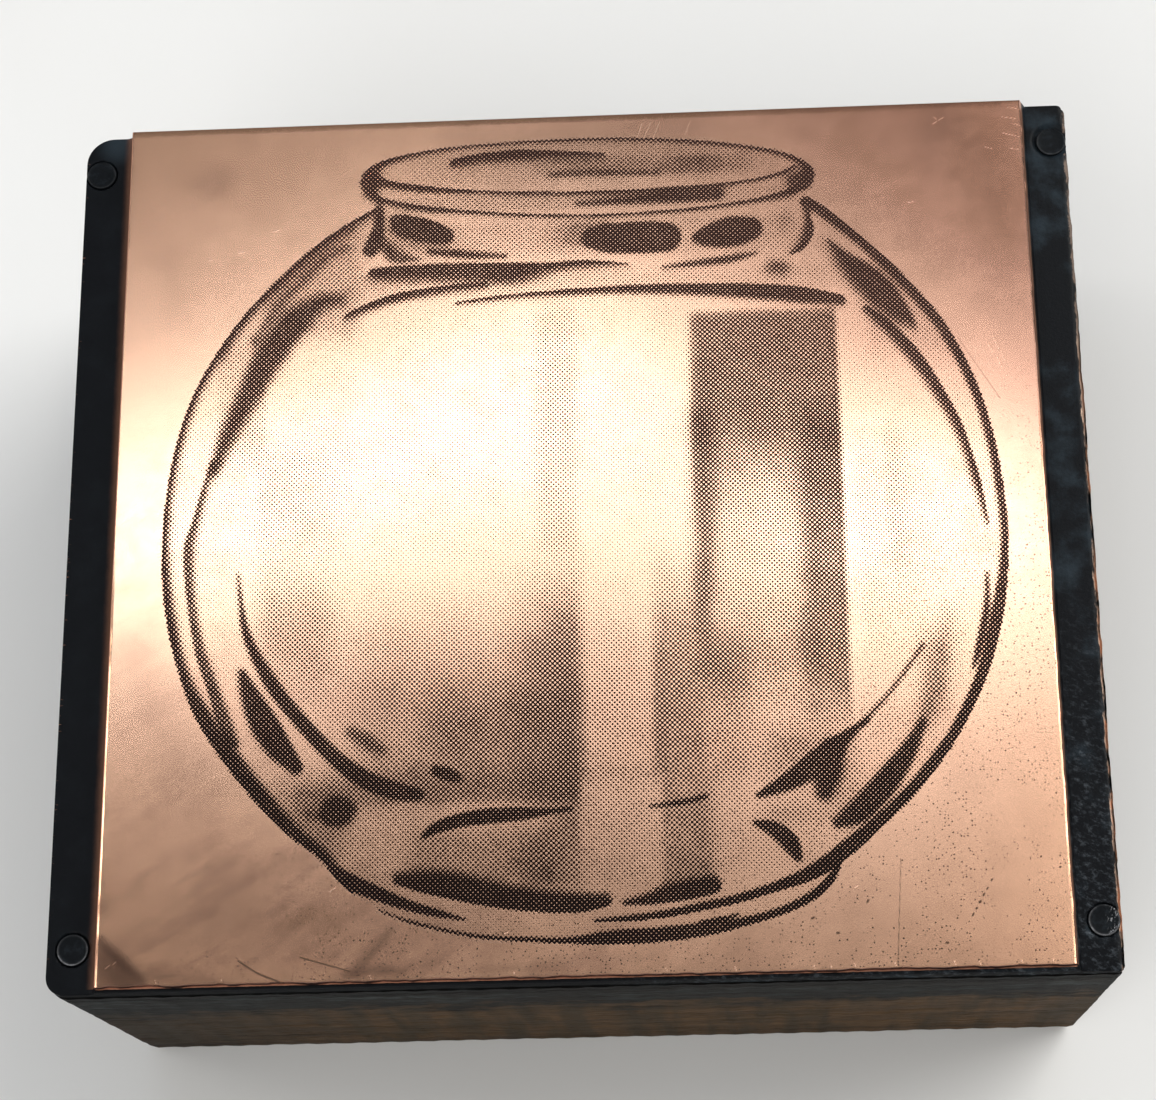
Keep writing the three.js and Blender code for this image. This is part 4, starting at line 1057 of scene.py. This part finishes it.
def ragged_edges(x, y):
    """Moves the front step, the right wall and the filed edge a little, as they were cut by hand."""
    y = y + wander(x, STEP_WAVERS) * beside(np.abs(y - FACE_FRONT), STEP_REACH, 1.2)
    x = x + wander(y, WALL_WAVERS) * beside(np.abs(x - FACE_RIGHT), WALL_REACH, 1.2)
    x = x - wander(y, FILED_WAVERS, abs) * beside(RIGHT - x, FILED_REACH, 1.4)
    return x, y


def near_mark(x, y, reach):
    """Which places are within reach of a fine mark."""
    return mark_gap(DARK_MARK_SHARES + BRIGHT_MARK_SHARES, x, y) < reach


def near_brad(x, y):
    """Which places are in a brad's dimple or just outside it."""
    reached = [np.hypot(x - middle.x, y - middle.y) < radius + settings["margin"] + DIMPLE_REACH
               for _, middle, radius, settings in brad_places()]
    return np.any(reached, axis=0)


def wide_areas(x, y):
    """The flanges, the darker stains and painted shade, and a wide band along the strokes and the fine marks.
    """
    on_flange = (x < FACE_LEFT - COVE_RUN) | (x > FACE_RIGHT + WALL_RUN)
    drawn = stroke_edges(x, y, *WIDE_STROKE_REACH) | near_mark(x, y, MARK_REACHES[0])
    return on_flange | drawn | (face_stain_and_shade(x, y) > FINE_STAIN_AND_SHADE)


def close_areas(x, y):
    """The brads' dimples, and a narrower band along the strokes and the fine marks."""
    return near_brad(x, y) | stroke_edges(x, y, *CLOSE_STROKE_REACH) | near_mark(x, y, MARK_REACHES[1])


def marks_alone(x, y):
    """The narrowest band, along the fine marks."""
    return near_mark(x, y, MARK_REACHES[2])


def plate_grid():
    """A flat sheet of the plate's outline, with small cells along the strokes and on the flanges."""
    columns, rows = plate_columns(), plate_rows()
    bm = bmesh.new()
    bmesh.ops.create_grid(bm, x_segments=len(columns) - 1, y_segments=len(rows) - 1, size=0.5)
    for vertex in bm.verts:
        column = round((vertex.co.x + 0.5) * (len(columns) - 1))
        row = round((vertex.co.y + 0.5) * (len(rows) - 1))
        vertex.co = (columns[column], rows[row], 0)
    for wanted in (wide_areas, close_areas, marks_alone):
        faces = list(bm.faces)
        middles = np.array([face.calc_center_median() for face in faces])
        chosen = wanted(middles[:, 0], middles[:, 1])
        edges = [edge for face, yes in zip(faces, chosen) if yes for edge in face.edges]
        bmesh.ops.subdivide_edges(bm, edges=list(dict.fromkeys(edges)), cuts=1, use_grid_fill=True)
    return bm


def open_rim(bm):
    return [edge for edge in bm.edges if edge.is_boundary]


def extrude_rim(bm, rim):
    """Extrudes an open rim in place, and gives the new vertices and the new rim."""
    made = bmesh.ops.extrude_edge_only(bm, edges=rim)["geom"]
    vertices = [item for item in made if isinstance(item, bmesh.types.BMVert)]
    return vertices, [item for item in made if isinstance(item, bmesh.types.BMEdge) and item.is_boundary]


def to_object(bm, name, materials):
    """A mesh object made of this bmesh, which is used up."""
    mesh = bpy.data.meshes.new(name)
    bm.to_mesh(mesh)
    bm.free()
    for material in materials:
        mesh.materials.append(material)
    piece = bpy.data.objects.new(name, mesh)
    bpy.context.scene.collection.objects.link(piece)
    return piece


def read_places(items, name):
    """The X, Y and Z of each vertex's "co" or each polygon's "center"."""
    places = np.zeros(len(items) * 3)
    items.foreach_get(name, places)
    return places.reshape(-1, 3).T


def move_vertices(mesh, *place):
    mesh.vertices.foreach_set("co", np.stack(place, 1).ravel())
    mesh.update()


def shade(mesh, angle):
    """Smooth shading, but for edges sharper than this angle in degrees."""
    mesh.shade_smooth()
    mesh.set_sharp_from_angle(angle=math.radians(angle))


def set_attribute(mesh, name, values):
    mesh.attributes.new(name, "FLOAT", "POINT").data.foreach_set("value", values.astype(np.float32))


def dress(piece, node):
    """The piece stands for a node of the model, and rides with the block."""
    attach(piece, "root")
    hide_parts(node)


def halftone_plate():
    """The etched copper plate: face, flanges, walls, front step, dimples and edges in one closed shell."""
    bm = plate_grid()
    top, side, bottom = 0, -1, -2
    rim = open_rim(bm)
    for level in (side, bottom):
        vertices, rim = extrude_rim(bm, rim)
        for vertex in vertices:
            vertex.co.z = level
    bmesh.ops.contextual_create(bm, geom=rim)
    bmesh.ops.recalc_face_normals(bm, faces=bm.faces)
    plate = to_object(bm, "etched_plate", [etched_copper(), inked_copper()])
    mesh = plate.data

    x, y, level = read_places(mesh.vertices, "co")
    set_attribute(mesh, "tone", np.where(level == top, picture_tone(x, y), 0.0))
    set_attribute(mesh, "stain_and_shade", face_stain_and_shade(x, y))
    set_attribute(mesh, "dark_mark", face_mark(DARK_MARK_SHARES, x, y))
    set_attribute(mesh, "bright_mark", face_mark(BRIGHT_MARK_SHARES, x, y))
    height = with_dimples(plate_height(x, y), x, y)
    z = np.where(level == top, height, np.where(level == side, WOOD_TOP + WAIST_HEIGHT, WOOD_TOP))
    move_vertices(mesh, *round_corners(*ragged_edges(x, y), plate_low, plate_high), z)

    x, _, z = read_places(mesh.polygons, "center")
    on_face = (z > TYPE_HEIGHT - FACE_TOLERANCE) & (x > FACE_LEFT) & (x < FACE_RIGHT)
    mesh.polygons.foreach_set("material_index", np.where(on_face, 0, 1).astype(np.int32))
    shade(mesh, 35)
    dress(plate, "halftone_plate")


def wood_block():
    """The base: square with the plate, worn along its foot and marked by the saw."""
    bm = bmesh.new()
    bmesh.ops.create_cube(bm, size=1)
    size, middle = wood_high - wood_low, (wood_high + wood_low) / 2
    bmesh.ops.scale(bm, vec=size, verts=bm.verts)
    bmesh.ops.translate(bm, vec=middle, verts=bm.verts)
    for axis, cuts in enumerate(WOOD_CUTS):
        along = [edge for edge in bm.edges
                 if abs((edge.verts[1].co - edge.verts[0].co).normalized()[axis]) > 0.9]
        bmesh.ops.subdivide_edges(bm, edges=along, cuts=cuts, use_grid_fill=True)
    for vertex in bm.verts:
        place = vertex.co.copy()
        x, y, z = place
        foot = max(0.0, 1 - (z - wood_low.z) / FOOT_HEIGHT)
        wear = FOOT_WEAR * (1 + 0.6 * noise.noise((x / FOOT_WEAR_LUMP, y / FOOT_WEAR_LUMP, 0))) * foot ** 2
        saw = SAW_DEPTH * (1 + math.sin(math.tau * (x + y) / SAW_PITCH + noise.noise(place / SAW_LUMP)))
        lump = (x / ROUGH_LUMP, y / ROUGH_LUMP, z / ROUGH_LUMP_HEIGHT)
        rough = WOOD_ROUGHNESS * (1 + noise.noise(lump))
        for axis in (0, 1):
            if min(place[axis] - wood_low[axis], wood_high[axis] - place[axis]) < ROUNDING:
                vertex.co[axis] += (wear + saw + rough) * (1 if place[axis] < middle[axis] else -1)
    block = to_object(bm, "hardwood_base", [stained_hardwood()])
    x, y, z = read_places(block.data.vertices, "co")
    move_vertices(block.data, *round_corners(x, y, wood_low, wood_high), z)
    shade(block.data, 40)
    dress(block, "wood_block")


def brad(name, middle, radius, settings, steel):
    """One brad: a flat head with a raised rim, a flared neck, a shank and a point."""
    low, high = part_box(name)
    top = high.z - settings["sunk"]
    neck = top - HEAD_THICKNESS
    outline = [(radius * share, top - depth) for share, depth in HEAD_OUTLINE_SHARES]
    outline += [(SHANK_RADIUS + NECK_FLARE, neck), (SHANK_RADIUS, neck - NECK_LENGTH),
                (SHANK_RADIUS, low.z + POINT_LENGTH), (0.0, low.z)]
    bm = bmesh.new()
    points = [bm.verts.new((away, 0, height)) for away, height in outline]
    edges = [bm.edges.new(pair) for pair in zip(points, points[1:])]
    bmesh.ops.spin(bm, geom=points + edges, axis=(0, 0, 1), cent=(0, 0, 0), dvec=(0, 0, 0),
                   angle=math.tau, steps=BRAD_STEPS, use_merge=True)
    bmesh.ops.remove_doubles(bm, verts=bm.verts, dist=0.001 * MM)
    bmesh.ops.recalc_face_normals(bm, faces=bm.faces)
    bmesh.ops.translate(bm, vec=(middle.x, middle.y, 0), verts=bm.verts)
    piece = to_object(bm, "brad_" + name.removeprefix("nail_"), [steel])
    x, y, z = read_places(piece.data.vertices, "co")
    head_x, head_y = (x - middle.x) / radius, (y - middle.y) / radius
    off_rim = np.abs(np.hypot(head_x, head_y) - HEAD_RIM_SHARE) / HEAD_RIM_WIDTH_SHARE
    on_rim = np.clip(1 - off_rim, 0.0, 1.0) * (z > top - HEAD_RIM_DEPTH)
    # The rubbed rim is painted brighter on the head's front side: partly rubbed steel, partly a painted
    # highlight
    highlight_side = 0.55 - 0.45 * head_y
    set_attribute(piece.data, "rubbed", settings["rub"] * on_rim * highlight_side)
    set_attribute(piece.data, "scarred", np.full(x.shape, settings["scar"]))
    set_attribute(piece.data, "head_x", head_x)
    shade(piece.data, 50)
    dress(piece, name)


def pale_floor():
    """A plain pale floor that keeps the block's shadow, and turns to a plain pale backdrop further off."""
    f = Finish("pale_floor")
    away = f.math("SQRT", f.plus(f.math("POWER", f.across, 2.0), f.math("POWER", f.along, 2.0)))
    cloud = f.rise(f.noise(50 * MM), 0.3, 0.8)
    f.finish(f.colour(cloud, FLOOR_DIM, FLOOR_PALE), 0.55)
    path = f.add("LightPath").outputs
    seen = f.most(path["Is Camera Ray"], path["Is Glossy Ray"], path["Is Transmission Ray"])
    far = f.times(f.rise(away, BACKDROP_START, BACKDROP_END), seen)
    glow = f.add("Emission", [("Color", BACKDROP), ("Strength", 1.0)])
    mix = f.add("MixShader", [(0, far), (1, f.shader.outputs[0]), (2, glow.outputs[0])])
    f.tree.links.new(mix.outputs[0], f.tree.nodes["Material Output"].inputs["Surface"])
    bm = bmesh.new()
    bmesh.ops.create_circle(bm, cap_ends=True, segments=96, radius=FLOOR_RADIUS)
    rim = open_rim(bm)
    for outward, upward in FLOOR_RIM:
        vertices, rim = extrude_rim(bm, rim)
        for vertex in vertices:
            flat = vertex.co.xy.normalized() * outward
            vertex.co += Vector((flat.x, flat.y, upward))
    bmesh.ops.recalc_face_normals(bm, faces=bm.faces)
    floor = to_object(bm, "floor", [f.material])
    shade(floor.data, 60)


def add_holder(name, data, place):
    """An object that holds a lamp or the camera."""
    holder = bpy.data.objects.new(name, data)
    holder.location = place
    bpy.context.scene.collection.objects.link(holder)
    return holder


def lamp(name, place, width, depth, radiance, tint):
    """A rectangular lamp that shines straight down. radiance 1 looks white."""
    light = bpy.data.lights.new(name, "AREA")
    light.shape = "RECTANGLE"
    light.size, light.size_y = width, depth
    light.energy = radiance * math.pi * width * depth
    light.color = tint
    return add_holder(name, light, place)


def card(name, across, along, width, depth, radiance, turn=0, tint=DAYLIGHT):
    """A level lamp above the face, turned by degrees. It shows in the copper as part of its bright band."""
    holder = lamp(name, (across, along, CARD_HEIGHT), width, depth, radiance, tint)
    holder.rotation_euler.z = math.radians(turn)


def soft_box(name, place, width, depth, radiance, tint=WHITE_LIGHT):
    """A lamp that faces the block."""
    holder = lamp(name, place, width, depth, radiance, tint)
    holder.rotation_euler = (-Vector(place)).to_track_quat("-Z", "Y").to_euler()


def lights():
    """Cards above the block, lamps round it, and a grey room."""
    card("card_left", -0.087, 0.166, 0.148, 0.0233, 7.8, 22)
    card("card_middle", -0.012, 0.170, 0.070, 0.050, 2.6)
    card("card_right", 0.056, 0.149, 0.102, 0.034, 6.4, -8)
    card("card_side", 0.131, 0.086, 0.053, 0.128, 2.2, -9, WHITE_LIGHT)
    card("card_wide", -0.066, 0.131, 0.265, 0.069, 1.1, -12)
    soft_box("glint_left", (-0.47, 0.14, 0.62), 0.16, 0.10, 5.0)
    soft_box("window", (0.75, 0.50, 0.75), 0.9, 0.9, 4.3, WARM_LIGHT)
    soft_box("room", (-0.75, 0.15, 0.60), 0.6, 0.5, 0.9)
    soft_box("front_fill", (-0.40, -0.58, 0.80), 0.8, 0.8, 2.1)
    world = bpy.data.worlds.new("room_light")
    world.use_nodes = True
    world.node_tree.nodes["Background"].inputs["Color"].default_value = ROOM_GREY
    bpy.context.scene.world = world


def camera():
    """The camera, at the place and angle that the photograph was taken from."""
    data = bpy.data.cameras.new("camera")
    data.sensor_width, data.lens = CAMERA_SENSOR, CAMERA_LENS
    data.shift_x, data.shift_y = CAMERA_SHIFT
    data.clip_start, data.clip_end = 0.001, 10
    holder = add_holder("camera", data, CAMERA_PLACE)
    holder.rotation_euler = [math.radians(angle) for angle in CAMERA_ANGLES]
    bpy.context.scene.camera = holder


halftone_plate()
wood_block()
steel = inked_steel()
for brad_name, middle, radius, settings in brad_places():
    brad(brad_name, middle, radius, settings, steel)
pale_floor()
lights()
camera()
bpy.context.scene.view_settings.view_transform = "Standard"
